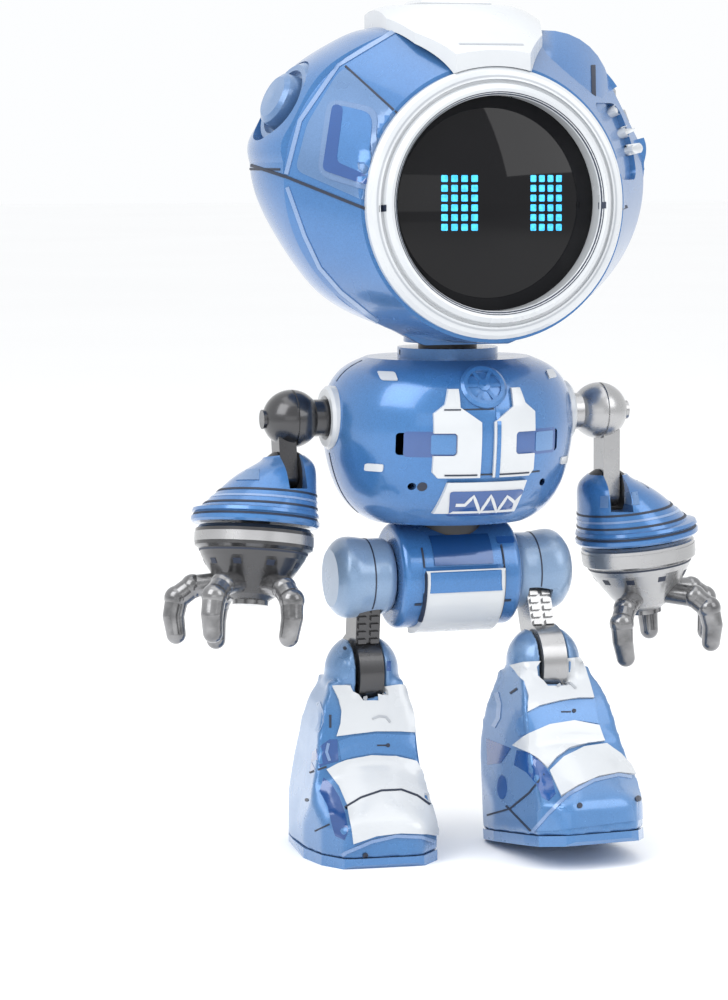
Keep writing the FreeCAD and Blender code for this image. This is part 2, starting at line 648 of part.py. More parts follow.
def claw(name, angle, sign):
    """One curled claw; the angle is measured from the front toward the outer side."""
    turn = math.radians(angle)
    aim = Vector(sign * math.sin(turn), -math.cos(turn), 0)
    points = [aim * r + Vector(0, 0, z) for r, z in CLAW_PATH]
    thick = (1.5, 1.5, 1.55, 1.45, 1.3)
    parts = []
    for index, (start, end) in enumerate(zip(points, points[1:])):
        limb = doc.addObject("Part::Cone", f"{name}_limb{index}")
        bind(limb, Radius1=thick[index], Radius2=thick[index + 1], Height=(end - start).Length)
        limb.Placement = Placement(start, Rotation(Z_AXIS, end - start))
        parts.append(limb)
    for index, point in enumerate(points[1:], start=1):
        grow = 0.14 if index in (1, 2) else 0.0
        parts.append(ball(f"{name}_joint{index}", thick[index] + grow, point.x, point.y, point.z))
    return parts


def arm(side, sign, swing, drop):
    """Shoulder ball, elbow, forearm bell and clawed hand of one side."""
    mark = side.capitalize()
    name = f"Arm{mark}"
    reach = f"{sign} * Dim.elbow_reach"
    pivot = (0, "Dim.shoulder_height")
    elbow_z = f"Dim.elbow_height - {drop}"
    elbow = (0, elbow_z)
    turn_x = Rotation(X_AXIS, swing)
    swung = Placement(Vector(0, 0, 0), turn_x, Vector(0, 0, size("shoulder_height")))

    # shoulder ball, shaft and tongue
    sphere = ball(f"{name}_sphere", "Dim.ball_radius", f"{sign} * Dim.shoulder_reach", 0,
                  "Dim.shoulder_height")
    def spanned(label, radius, near, far):
        start = near if sign > 0 else -far
        return rod(f"{name}_{label}", "x", radius, start, far - near, pivot)
    shaft = spanned("shaft", "Dim.shaft_radius", 11.6, 19.6)
    stop = spanned("stop", 3.0, 10.6, 12.2)
    seam = cut(f"{name}_sphere_seam", sphere,
               cut(f"{name}_seam_ring", spanned("seam_out", 5.0, 22.05, 22.35),
                   spanned("seam_in", 3.7, 22.0, 22.4)))
    rivet = spanned("rivet", 1.3, 25.4, 26.3)
    neck = block(f"{name}_neck", (f"{reach} - 1.2", f"{reach} + 1.2"), (-1.9, 1.9),
                 (elbow_z, "Dim.shoulder_height - 2.6"))
    eye = rod(f"{name}_eye", "x", 1.9, f"{reach} - 1.2", "Dim.tongue_width", elbow)
    eye_bore = rod(f"{name}_eye_bore", "x", "Dim.elbow_pin_radius + Dim.turn_gap",
                   f"{reach} - 2", 4, elbow)
    link = fuse(f"{name}_link", seam, shaft, stop, neck, eye, rivet)
    keep(f"shoulder_ball_{side}", f"{mark} shoulder ball", cut(f"{name}_ball", link, eye_bore), swung)

    # forearm: black elbow dome and blue bell, slotted for the tongue
    dome = ball(f"{name}_dome", "Dim.dome_radius", reach, 0, elbow_z)
    slot = block(f"{name}_slot", (f"{reach} - Dim.elbow_slot / 2", f"{reach} + Dim.elbow_slot / 2"),
                 (-8, 8), (f"{elbow_z} - 2.15", 62))
    pin_hole = rod(f"{name}_pin_hole", "x", "Dim.elbow_pin_radius", f"{reach} - 3.1", 6.2, elbow)
    keep(f"elbow_dome_{side}", f"{mark} elbow dome", cut(f"{name}_dome_cut", dome, slot, pin_hole), swung)
    pin = rod(f"{name}_pin", "x", "Dim.elbow_pin_radius", f"{reach} - 3.1", 6.2, elbow)
    keep(f"elbow_pin_{side}", f"{mark} elbow pin", group(f"{name}_pin_piece", pin), swung)
    lean = -sign * size("bell_tilt")
    rim_z = f"Dim.bell_height - {drop}"
    stations = (
        (f"{elbow_z} + 2.6", 2.8, 2.8, f"{sign} * 23.5"),
        (f"{elbow_z} + 1.2", 4.5, 4.5, f"{sign} * 24.0", lean * 0.1),
        (f"{elbow_z} - 0.9", 6.1, 6.1, f"{sign} * 25.5", lean * 0.3),
        (f"{rim_z} + 3.3", 7.3, 7.3, f"{sign} * 26.8", lean * 0.6),
        (f"{rim_z} + 1.5", 8.1, 8.1, f"{sign} * 27.7", lean * 0.9),
        (f"{rim_z} + 0.9", 8.2, 8.2, f"{sign} * 27.9", lean),
    )
    bell = blend(f"{name}_bell", stations)
    rim_centre = Vector(sign * size("bell_reach"), 0, size("bell_height") - drop)
    rim_turn = Rotation(Y_AXIS, lean)
    rim_place = Placement(rim_centre, rim_turn)
    hem = turned(f"{name}_hem", (
        (0, 0), ("Dim.bell_radius - 0.3", 0), ("Dim.bell_radius", 0.3), ("Dim.bell_radius", 0.8),
        ("Dim.bell_radius - 0.35", 1.0), ("Dim.bell_radius - 0.35", 1.25),
        ("Dim.bell_radius - 0.05", 1.45), ("Dim.bell_radius - 0.2", 1.9), (6.0, 2.6), (0, 2.6)))
    hem.Placement = rim_place
    hollow = turned(f"{name}_hollow", ((0, 1.3), (5.2, 1.3), (4.6, 3.4), (0, 3.4)))
    hollow.Placement = rim_place
    wrist_hole = turned(f"{name}_wrist_hole", ((0, -2), (2.06, -2), (2.06, 2), (0, 2)))
    wrist_hole.Placement = rim_place
    dome_seat = ball(f"{name}_dome_seat", "Dim.dome_radius", reach, 0, elbow_z)
    whole = fuse(f"{name}_bell_whole", bell, hem)
    sleeve = cut(f"{name}_bell_cut", whole, slot, hollow, wrist_hole, dome_seat)
    keep(f"forearm_bell_{side}", f"{mark} forearm bell", sleeve, swung)

    # hand: cup with belt, wrist post and claws, drawn upright and then tilted with the bell
    hand_place = swung.multiply(rim_place)
    cup = turned(f"{name}_cup", (
        (0, -10.0), (2.4, -10.0), (3.6, -9.2), (4.8, -7.6), (6.0, -5.9), (6.9, -4.4), (7.3, -3.4),
        ("Dim.hand_radius - 0.3", -3.2), ("Dim.hand_radius", -3.0), ("Dim.hand_radius", -0.8),
        ("Dim.hand_radius - 0.3", -0.6), (7.4, -0.3),
        (2.0, -0.3), (2.0, 1.45), (3.2, 1.45), (3.2, 2.3), (0, 2.3)))
    claws = []
    for index, angle in enumerate(CLAW_ANGLES[side]):
        claws += claw(f"{name}_claw{index}", angle, sign)
    hub = rod(f"{name}_hub", "z", 2.4, -10.6, 3.4, (0, 0))
    spider = fuse(f"{name}_spider", hub, *claws)
    cup_solid = cut(f"{name}_cup_cut", cup, hub)
    keep(f"hand_cup_{side}", f"{mark} hand cup", cup_solid, hand_place)
    keep(f"hand_claws_{side}", f"{mark} hand claws", cut(f"{name}_claws_cut", spider, cup), hand_place)


arm("right", -1, RIGHT_ARM_SWING, 0.0)
arm("left", 1, LEFT_ARM_SWING, LEFT_ARM_DROP)


# ---------------------------------------------------------------- pelvis

hip_line = (0, "Dim.hip_height")
barrel = doc.addObject("Part::Cylinder", "Barrel")
bind(barrel, Radius="Dim.pelvis_radius", Height="Dim.pelvis_half_width * 2")
locate(barrel, "-Dim.pelvis_half_width", 0, "Dim.hip_height", AIM["x"])
doc.recompute()
barrel_round = doc.addObject("Part::Fillet", "BarrelRound")
barrel_round.Base = barrel
barrel_round.Edges = [(n, 1.0, 1.0) for n, e in enumerate(barrel.Shape.Edges, start=1)
                      if e.Closed and len(e.Vertexes) == 1]
barrel_room = rod("BarrelRoom", "x", "Dim.pelvis_radius - Dim.pelvis_wall", -7.2, 14.4, hip_line)
axle_bore = rod("AxleBore", "x", "Dim.axle_radius", -20, 40, hip_line)
socket_room = rod("SocketRoom", "z", "Dim.socket_radius", 41.4, 6, (0, 0))
belly_arc = cut("BellyArc", rod("BellyArcOut", "x", "Dim.pelvis_radius + 0.8", -5.6, 11.2, hip_line),
                rod("BellyArcIn", "x", "Dim.pelvis_radius", -6, 12, hip_line))
belly_zone = prism("BellyZone", "yz", ((-9, 38.6), (-9, 28), (0.5, 28), (0.5, 38.6)), 11.2)
keep("pelvis_belly_panel", "Pelvis belly panel", common("PelvisBelly", belly_arc, belly_zone))
window_zone = prism("WindowZone", "yz", ((-9, 43.0), (-9, 39.2), (-4.0, 39.2), (-3.0, 43.0)), 8.4)
window_cut = cut("WindowCut", rod("WindowOut", "x", "Dim.pelvis_radius + 0.2", -4.2, 8.4, hip_line),
                 rod("WindowIn", "x", "Dim.pelvis_radius - 0.6", -5, 10, hip_line))
window_arc = common("WindowArc", window_cut, window_zone)
keep("pelvis_window", "Pelvis window", cut("PelvisWindow", window_arc, socket_room))
window_room = common("WindowRoom", rod("WindowRoomRod", "x", "Dim.pelvis_radius + 1", -4.2, 8.4, hip_line),
                     window_zone)
window_pocket = cut("WindowPocket", window_room,
                    rod("WindowFloor", "x", "Dim.pelvis_radius - 0.6", -5, 10, hip_line))
pelvis_hollow = cut("PelvisHollow", barrel_round, barrel_room, axle_bore, socket_room, window_pocket)
keep("pelvis_front_shell", "Pelvis front shell", common("PelvisFront", pelvis_hollow, front_space))
keep("pelvis_back_shell", "Pelvis back shell", common("PelvisBack", pelvis_hollow, back_space))
keep("hip_axle", "Hip axle", rod("HipAxle", "x", "Dim.axle_radius", -15.9, 31.8, hip_line))
socket = turned("SocketForm", (("Dim.waist_radius + Dim.turn_gap", 41.4), ("Dim.socket_radius", 41.4),
                               ("Dim.socket_radius", 44.4), ("Dim.waist_radius + Dim.turn_gap", 44.4)))
keep("waist_socket", "Waist socket", socket)


# ---------------------------------------------------------------- legs

def leg(side, sign, swing, pitch, ankle_spot):
    """Hip pod, toothed link and boot of one side."""
    mark = side.capitalize()
    name = f"Leg{mark}"
    hip = Vector(0, 0, size("hip_height"))
    swung = Placement(hip, Rotation(X_AXIS, swing))

    def across(label, radius, near, far, spot=(0, 0)):
        start = near if sign > 0 else f"-({far})"
        return rod(f"{name}_{label}", "x", radius, start, f"({far}) - ({near})", spot)

    def slab(label, near, far, y_range, z_range):
        low, high = (near, far) if sign > 0 else (f"-({far})", f"-({near})")
        return block(f"{name}_{label}", (low, high), y_range, z_range)

    # pod: stations run outward along the hip axle
    pod = blend(f"{name}_pod", (
        ("Dim.pod_start", 4.7, 4.7), ("Dim.pod_start + 1.2", 5.2, 5.2),
        ("Dim.pod_split - 0.6", "Dim.pod_radius", "Dim.pod_radius"),
        ("Dim.pod_split + 1.6", "Dim.pod_radius", "Dim.pod_radius"),
        ("Dim.pod_end - 0.8", 4.9, 4.9), ("Dim.pod_end", 3.9, 3.9)),
        placement=Placement(Vector(0, 0, 0), Rotation(Y_AXIS, 90 * sign)))
    room = across("room", 4.4, "Dim.link_start", "Dim.link_start + Dim.link_width")
    arch = slab("arch", "Dim.link_start", "Dim.link_start + Dim.link_width", (-3.6, 3.6), (-9, 0))
    bore = across("bore", "Dim.axle_radius + Dim.turn_gap", 7, 16.0)
    pod_hollow = cut(f"{name}_pod_hollow", pod, room, arch, bore)
    inner_zone = slab("inner_zone", 5, "Dim.pod_split", (-9, 9), (-9, 9))
    outer_zone = slab("outer_zone", "Dim.pod_split", 22, (-9, 9), (-9, 9))
    keep(f"hip_pod_inner_{side}", f"{mark} hip pod inner",
         common(f"{name}_pod_inner", pod_hollow, inner_zone), swung)
    keep(f"hip_pod_outer_{side}", f"{mark} hip pod outer",
         common(f"{name}_pod_outer", pod_hollow, outer_zone), swung)

    # link with teeth on its front and back faces
    near = "Dim.link_start"
    far = "Dim.link_start + Dim.link_width"
    top_eye = across("top_eye", 3.6, near, far)
    stem = slab("stem", near, far, ("-Dim.link_depth / 2", "Dim.link_depth / 2"),
                ("-Dim.link_length + 1", -1))
    disc = across("disc", "Dim.ankle_radius", near, far, (0, "-Dim.link_length"))
    teeth = []
    for row in range(5):
        top = -3.9 - 1.05 * row
        for column in (0.25, 2.0):
            teeth.append(slab(f"tooth{row}_{int(column)}", f"Dim.link_start + {column}",
                              f"Dim.link_start + {column + 1.15}", (-2.75, 2.75), (top - 0.6, top)))
    link = fuse(f"{name}_link_whole", top_eye, stem, disc, *teeth)
    link_bores = (across("link_bore", "Dim.axle_radius + Dim.turn_gap", 8, 16),
                  across("link_pin_bore", "Dim.ankle_pin_radius + Dim.turn_gap", 8, 16,
                         (0, "-Dim.link_length")))
    keep(f"leg_link_{side}", f"{mark} leg link", cut(f"{name}_link", link, *link_bores), swung)

    # boot, drawn about the ankle pin and then set down on the floor
    foot_place = Placement(ankle_spot, Rotation(X_AXIS, pitch))
    down = "Dim.ankle_height"
    toe = "Dim.toe_reach"
    heel = "Dim.heel_reach"
    splay = Rotation(Z_AXIS, sign * size("toe_out"))
    side_corners = (
        (3.9, -0.9), (-3.6, -0.9), (-7.2, -7.6), (-7.7, -11.4), (-8.6, -11.8),
        (f"-{toe} + 0.5", f"6.0 - {down}"), (f"-{toe}", f"5.0 - {down}"),
        (f"-{toe}", f"0.5 - {down}"), (f"-{toe} + 0.5", f"-{down}"),
        (f"{heel} - 1.6", f"-{down}"), (heel, f"1.6 - {down}"), (f"{heel} - 0.4", f"6.0 - {down}"),
        (8.6, -12.4), (6.9, -7.2))
    outer, inner = "Dim.boot_outer", "Dim.boot_inner"
    front_out = ((0, 2), (5.0, 2), (5.4, -2.0), (6.4, -4.0), (7.2, -7.5), (7.7, -11.5), (8.5, -15.0),
                 (f"{outer} - 0.4", -20.0), (outer, -22.0), (f"{outer} - 0.6", f"-{down} - 0.1"))
    front_in = ((f"-{inner}", f"-{down} - 0.1"), (f"-{inner}", -20.5), (-6.9, -15.0), (-6.4, -10.0),
                (-6.2, -6.0), (-5.2, -2.0), (-5.0, 2))
    plan_corners = (
        (f"{outer} - 0.6", -7.0), (7.9, -12.0), (5.4, f"-{toe} + 0.3"), (2.6, f"-{toe} - 0.4"),
        (-2.6, f"-{toe} - 0.4"), (-5.4, f"-{toe} + 0.3"), (-7.9, -12.2), (f"-{inner}", -8.0),
        (-7.7, 2.0), (-6.9, 7.0), (-5.2, f"{heel} - 0.9"), (-2.6, heel), (3.2, heel),
        (6.6, f"{heel} - 0.9"), (8.9, 7.0), (outer, 1.0))

    def facing(corners):
        """Corners whose first value runs outward, set on this side of the robot."""
        return tuple((f"{sign} * ({across_out})", other) for across_out, other in corners)

    arch = blend(f"{name}_boot_arch", (
        (f"{toe} + 1.0", 9.0, 5.4, 0, 0, f"-{down}"), (12.6, 10.0, 8.4, 0, 0, f"-{down}"),
        (8.6, 13.0, 12.2, 0, 0, f"-{down}"), (7.0, 17.0, 16.4, 0, 0, f"-{down}"),
        (3.0, 31.0, 30.0, 0, 0, f"-{down}"), (-16, 35.0, 34.0, 0, 0, f"-{down}")), ruled=True)
    side_form = prism(f"{name}_boot_side", "yz", side_corners, 20)
    front_form = prism(f"{name}_boot_front", "xz", facing(front_out + front_in), 40)
    plan_form = prism(f"{name}_boot_plan", "xy", facing(plan_corners), 60)
    boot_flat = common(f"{name}_boot_b", common(f"{name}_boot_a", side_form, front_form), plan_form)
    boot_raw = common(f"{name}_boot_raw", boot_flat, arch)
    ankle_x = f"{sign} * (Dim.link_start + Dim.link_width / 2 - Dim.ankle_reach)"
    dome = ball(f"{name}_ankle_dome", "Dim.ankle_radius", ankle_x, 0, 0)
    room_below = block(f"{name}_boot_room", (-5.6, 5.6), (-9.6, 7.2),
                       (f"-{down} - 1", f"7.4 - {down}"))
    sole_room = block(f"{name}_sole_room", (-12, 12), (-20, 20), (f"-{down} - 1", f"Dim.sole_thickness - {down}"))
    arch.Placement = Placement(Vector(0, 0, 0), splay.multiply(Rotation(X_AXIS, 90)))
    for piece in (side_form, front_form, plan_form, room_below):
        piece.Placement = Placement(Vector(0, 0, 0), splay)
        if piece is room_below:
            corner = splay.multVec(Vector(-5.6, -9.6, 0))
            bind(piece, **{"Placement.Base.x": corner.x, "Placement.Base.y": corner.y,
                           "Placement.Base.z": f"-{down} - 1"})
    slot_low = f"{sign} * (Dim.link_start + Dim.link_width / 2 - Dim.ankle_reach) - Dim.ankle_slot / 2"
    slot = rod(f"{name}_ankle_slot", "x", "Dim.ankle_radius + 0.25", slot_low, "Dim.ankle_slot", (0, 0))
    slot_up = block(f"{name}_ankle_gap", (slot_low, f"{slot_low} + Dim.ankle_slot"),
                    ("-Dim.ankle_radius - 2", "Dim.ankle_radius + 2"), (0, 8))
    pin_bore = rod(f"{name}_pin_bore", "x", "Dim.ankle_pin_radius", f"{ankle_x} - 4.3", 8.6, (0, 0))
    shell = cut(f"{name}_boot_cut", fuse(f"{name}_boot_whole", boot_raw, dome),
                slot, slot_up, pin_bore, room_below, sole_room)
    keep(f"foot_shell_{side}", f"{mark} foot shell", shell, foot_place)
    sole_slab = common(f"{name}_sole_slab", boot_raw, sole_room)
    keep(f"sole_plate_{side}", f"{mark} sole plate", sole_slab, foot_place)
    pin = rod(f"{name}_pin", "x", "Dim.ankle_pin_radius", f"{ankle_x} - 4.3", 8.6, (0, 0))
    keep(f"ankle_pin_{side}", f"{mark} ankle pin", group(f"{name}_pin_piece", pin), foot_place)

    # two white panels on the front: a steep one below the ankle and a domed one over the toe
    arch_skin = blend(f"{name}_arch_skin", (
        (f"{toe} + 1.0", 9.3, 5.75, 0, 0, f"-{down}"), (12.6, 10.3, 8.75, 0, 0, f"-{down}"),
        (8.6, 13.35, 12.55, 0, 0, f"-{down}"), (7.0, 17.4, 16.8, 0, 0, f"-{down}")), ruled=True)
    arch_skin.Placement = arch.Placement
    low_zone = prism(f"{name}_low_zone", "yz", (
        (-8.7, -12.0), (f"-{toe} + 0.5", f"4.0 - {down}"), (f"-{toe} + 0.1", f"8.0 - {down}"),
        (-8.7, -8.0)), 20)
    panel_high = prism(f"{name}_panel_high", "yz", (
        (-3.75, -1.2), (-7.2, -7.6), (-7.75, -7.5), (-4.25, -0.95)), 20)
    trim_low = prism(f"{name}_trim_low", "xz", facing((
        (6.4, -10.5), (5.9, -13.0), (5.1, -16.0), (5.0, -20.5), (-6.4, -20.5), (-6.3, -16.0),
        (-5.9, -13.0), (-5.9, -10.5))), 60)
    trim_high = prism(f"{name}_trim_high", "xz", facing((
        (4.9, 0), (4.2, -3.4), (5.4, -8.2), (-5.6, -8.2), (-5.2, -3.4), (-4.6, 0))), 60)
    for piece in (low_zone, panel_high, trim_low, trim_high):
        piece.Placement = Placement(Vector(0, 0, 0), splay)
    low_skin = cut(f"{name}_low_skin", common(f"{name}_low_keep", arch_skin, low_zone), arch)
    low_piece = cut(f"{name}_low_seated", common(f"{name}_low_piece", low_skin, trim_low), side_form)
    high_piece = common(f"{name}_high_piece", panel_high, trim_high)
    panel_pair = cut(f"{name}_panels_off_boot", group(f"{name}_panel_pair", low_piece, high_piece), boot_raw)
    slot_keep = fuse(f"{name}_panel_clear", slot, dome)
    keep(f"foot_panels_{side}", f"{mark} foot panels",
         cut(f"{name}_panels", panel_pair, slot_keep), foot_place)


LINK_CENTRE = size("link_start") + size("link_width") / 2


def ankle_spot(sign, swing):
    """Where the ankle pin stands once the leg has swung about the hip axle."""
    turn = math.radians(swing)
    length = size("link_length")
    return Vector(sign * size("ankle_reach"), length * math.sin(turn),
                  size("hip_height") - length * math.cos(turn))


leg("right", -1, RIGHT_LEG_SWING, RIGHT_FOOT_PITCH, ankle_spot(-1, RIGHT_LEG_SWING))
leg("left", 1, LEFT_LEG_SWING, LEFT_FOOT_PITCH, ankle_spot(1, LEFT_LEG_SWING))


# ---------------------------------------------------------------- checks and export

doc.recompute()

faults = []
for item in doc.Objects:
    if "Invalid" in item.State or "Error" in item.State:
        faults.append(f"{item.Name}: {item.State}")
for node, item in NODES.items():
    shape = item.Shape
    if shape.isNull() or not shape.isValid() or not shape.Solids:
        faults.append(f"{node}: shape is null, not valid or has no solid")
if faults:
    raise RuntimeError("; ".join(faults))

os.makedirs("parts", exist_ok=True)
for node, item in NODES.items():
    item.Shape.exportStep(f"parts/{node}.step")
whole = FreeCAD.BoundBox()
for node, item in NODES.items():
    box = item.Shape.BoundBox
    whole.add(box)
    print(f"{node:24s} {len(item.Shape.Solids)} solids {item.Shape.Volume:9.1f} mm3 "
          f"Z {box.ZMin:7.2f} {box.ZMax:7.2f}")
print(len(NODES), "pieces", whole)
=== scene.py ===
import json
import math

import bmesh
import bpy
import numpy as np
from mathutils import Matrix, Vector
from mathutils.bvhtree import BVHTree
from mathutils.geometry import delaunay_2d_cdt


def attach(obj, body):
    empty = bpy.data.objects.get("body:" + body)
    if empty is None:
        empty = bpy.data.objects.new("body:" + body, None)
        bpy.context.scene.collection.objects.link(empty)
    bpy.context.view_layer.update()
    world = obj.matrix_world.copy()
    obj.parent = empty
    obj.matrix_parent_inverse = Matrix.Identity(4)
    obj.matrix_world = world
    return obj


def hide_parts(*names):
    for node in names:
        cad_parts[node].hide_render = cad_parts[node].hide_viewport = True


# Looks of the walking toy robot.  Lengths below are in millimetres unless they end in _m.

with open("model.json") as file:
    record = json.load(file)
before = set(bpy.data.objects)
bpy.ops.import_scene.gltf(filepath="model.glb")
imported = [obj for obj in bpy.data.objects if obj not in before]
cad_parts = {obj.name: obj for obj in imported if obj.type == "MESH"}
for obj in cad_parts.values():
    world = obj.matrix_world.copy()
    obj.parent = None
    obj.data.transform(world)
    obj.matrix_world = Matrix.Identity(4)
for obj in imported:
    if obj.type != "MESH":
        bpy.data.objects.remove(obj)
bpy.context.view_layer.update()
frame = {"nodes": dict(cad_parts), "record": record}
nodes = frame["nodes"]

MM = 0.001
SIDES = {"right": -1, "left": 1}
CAMERA_AZIMUTH = -19.0
CAMERA_DISTANCE = 440.0
CAMERA_HEIGHT = 94.0
CAMERA_TARGET_HEIGHT = 57.0
LENS = 116.4

# Sizes of the CAD form that the details follow, to the nearest 0.1 mm or 0.1 degree.
FACE_HEIGHT = 88.0
FACE_PLANE = 18.6
FACE_OUTER_RADIUS = 18.2
RIDGE_PLANE = 8.0
RIDGE_HALF_WIDTH = 25.4
RIDGE_HALF_HEIGHT = 21.6
RIDGE_MIDDLE = 90.8
SEAM_LEVEL = 92.4
SHOULDER_HEIGHT = 59.0
BELL_REACH = 28.0
BELL_HEIGHT = 44.8
BELL_TILT = 6.5
HIP_HEIGHT = 37.2
LEG_REACH = 11.9

# How details are laid on a surface.
SKIN_STEPS = 120
RING_STEPS = 96
OVAL_STEPS = 16
PULL_STEPS = 44
PULL_SHARE = 0.015
RIM_CLEARANCE = 0.55
LONGEST_EDGE_STEPS = 5
WHITE_LIFT = 0.35
RAY_START = 200
SLOPE_STEP = 0.3
SINK = 0.3
LONGEST_GAP = 4
MERGE_M = 0.000004
SHARP_ANGLE = 38
ARM_REACH = 30


# ---------------------------------------------------------------- materials

def new_material(name):
    """A new node material, its node tree and its shader."""
    material = bpy.data.materials.new(name)
    material.use_nodes = True
    tree = material.node_tree
    shader = tree.nodes["Principled BSDF"]
    return material, tree, shader


def noise(tree, scale, detail=3.0, roughness=0.5):
    """Noise over object coordinates; scale is in cycles per metre."""
    coords = tree.nodes.new("ShaderNodeTexCoord")
    texture = tree.nodes.new("ShaderNodeTexNoise")
    texture.inputs["Scale"].default_value = scale
    texture.inputs["Detail"].default_value = detail
    texture.inputs["Roughness"].default_value = roughness
    tree.links.new(coords.outputs["Object"], texture.inputs["Vector"])
    return texture


def ramp(tree, source, stops):
    """A colour ramp over a value: stops are (position, colour)."""
    node = tree.nodes.new("ShaderNodeValToRGB")
    points = node.color_ramp.elements
    while len(points) < len(stops):
        points.new(0.5)
    for point, (position, colour) in zip(points, stops):
        point.position = position
        point.color = (*colour, 1.0)
    tree.links.new(source, node.inputs["Fac"])
    return node


def grey(value):
    """A grey colour."""
    return (value, value, value)


def add_bump(tree, shader, height, strength, distance_m):
    """Bump from a height value."""
    bump = tree.nodes.new("ShaderNodeBump")
    bump.inputs["Strength"].default_value = strength
    bump.inputs["Distance"].default_value = distance_m
    tree.links.new(height, bump.inputs["Height"])
    tree.links.new(bump.outputs["Normal"], shader.inputs["Normal"])


def vary_roughness(tree, shader, texture, low, high):
    """Roughness that drifts between two values."""
    drift = ramp(tree, texture.outputs["Fac"], ((0.3, grey(low)), (0.7, grey(high))))
    tree.links.new(drift.outputs["Color"], shader.inputs["Roughness"])


def finish_material(name, dark, light, metallic, rough, coat=0.0, flake=0.0, cloud_scale=60,
                    grain_scale=900, grain=0.05, edge=None, fade=None, shine=0.5):
    """A lacquered, moulded or cast surface with cloudy colour, grain, a painted sheen at grazing angles and
    an upward fade.
    """
    material, tree, shader = new_material(name)
    cloud = noise(tree, cloud_scale, 4.0)
    colour = ramp(tree, cloud.outputs["Fac"], ((0.32, dark), (0.68, light)))
    output = colour.outputs["Color"]
    if fade:
        low_m, high_m, top = fade
        coords = tree.nodes.new("ShaderNodeTexCoord")
        split = tree.nodes.new("ShaderNodeSeparateXYZ")
        rise = tree.nodes.new("ShaderNodeMapRange")
        rise.inputs["From Min"].default_value = low_m
        rise.inputs["From Max"].default_value = high_m
        tree.links.new(coords.outputs["Object"], split.inputs["Vector"])
        tree.links.new(split.outputs["Z"], rise.inputs["Value"])
        fader = tree.nodes.new("ShaderNodeMix")
        fader.data_type = "RGBA"
        tree.links.new(rise.outputs["Result"], fader.inputs["Factor"])
        tree.links.new(output, fader.inputs["A"])
        fader.inputs["B"].default_value = (*top, 1.0)
        output = fader.outputs["Result"]
    # Painted sheen: the colour turns towards the edge tint where the surface is seen at a grazing angle.
    if edge:
        facing = tree.nodes.new("ShaderNodeLayerWeight")
        facing.inputs["Blend"].default_value = 0.35
        mix = tree.nodes.new("ShaderNodeMix")
        mix.data_type = "RGBA"
        tree.links.new(facing.outputs["Facing"], mix.inputs["Factor"])
        tree.links.new(output, mix.inputs["A"])
        mix.inputs["B"].default_value = (*edge, 1.0)
        output = mix.outputs["Result"]
    if flake:
        cells = tree.nodes.new("ShaderNodeTexVoronoi")
        cells.inputs["Scale"].default_value = 9000
        coords = tree.nodes.new("ShaderNodeTexCoord")
        tree.links.new(coords.outputs["Object"], cells.inputs["Vector"])
        sparkle = ramp(tree, cells.outputs["Color"], ((0.0, grey(1.0 - flake)), (1.0, grey(1.0 + flake))))
        blend = tree.nodes.new("ShaderNodeMix")
        blend.data_type = "RGBA"
        blend.blend_type = "MULTIPLY"
        blend.inputs["Factor"].default_value = 1.0
        tree.links.new(output, blend.inputs["A"])
        tree.links.new(sparkle.outputs["Color"], blend.inputs["B"])
        output = blend.outputs["Result"]
    tree.links.new(output, shader.inputs["Base Color"])
    shader.inputs["Metallic"].default_value = metallic
    shader.inputs["Specular IOR Level"].default_value = shine
    vary_roughness(tree, shader, noise(tree, cloud_scale * 3, 5.0), rough * 0.85, rough * 1.2)
    shader.inputs["Coat Weight"].default_value = coat
    shader.inputs["Coat Roughness"].default_value = 0.06
    add_bump(tree, shader, noise(tree, grain_scale, 6.0).outputs["Fac"], grain, 0.00012)
    return material
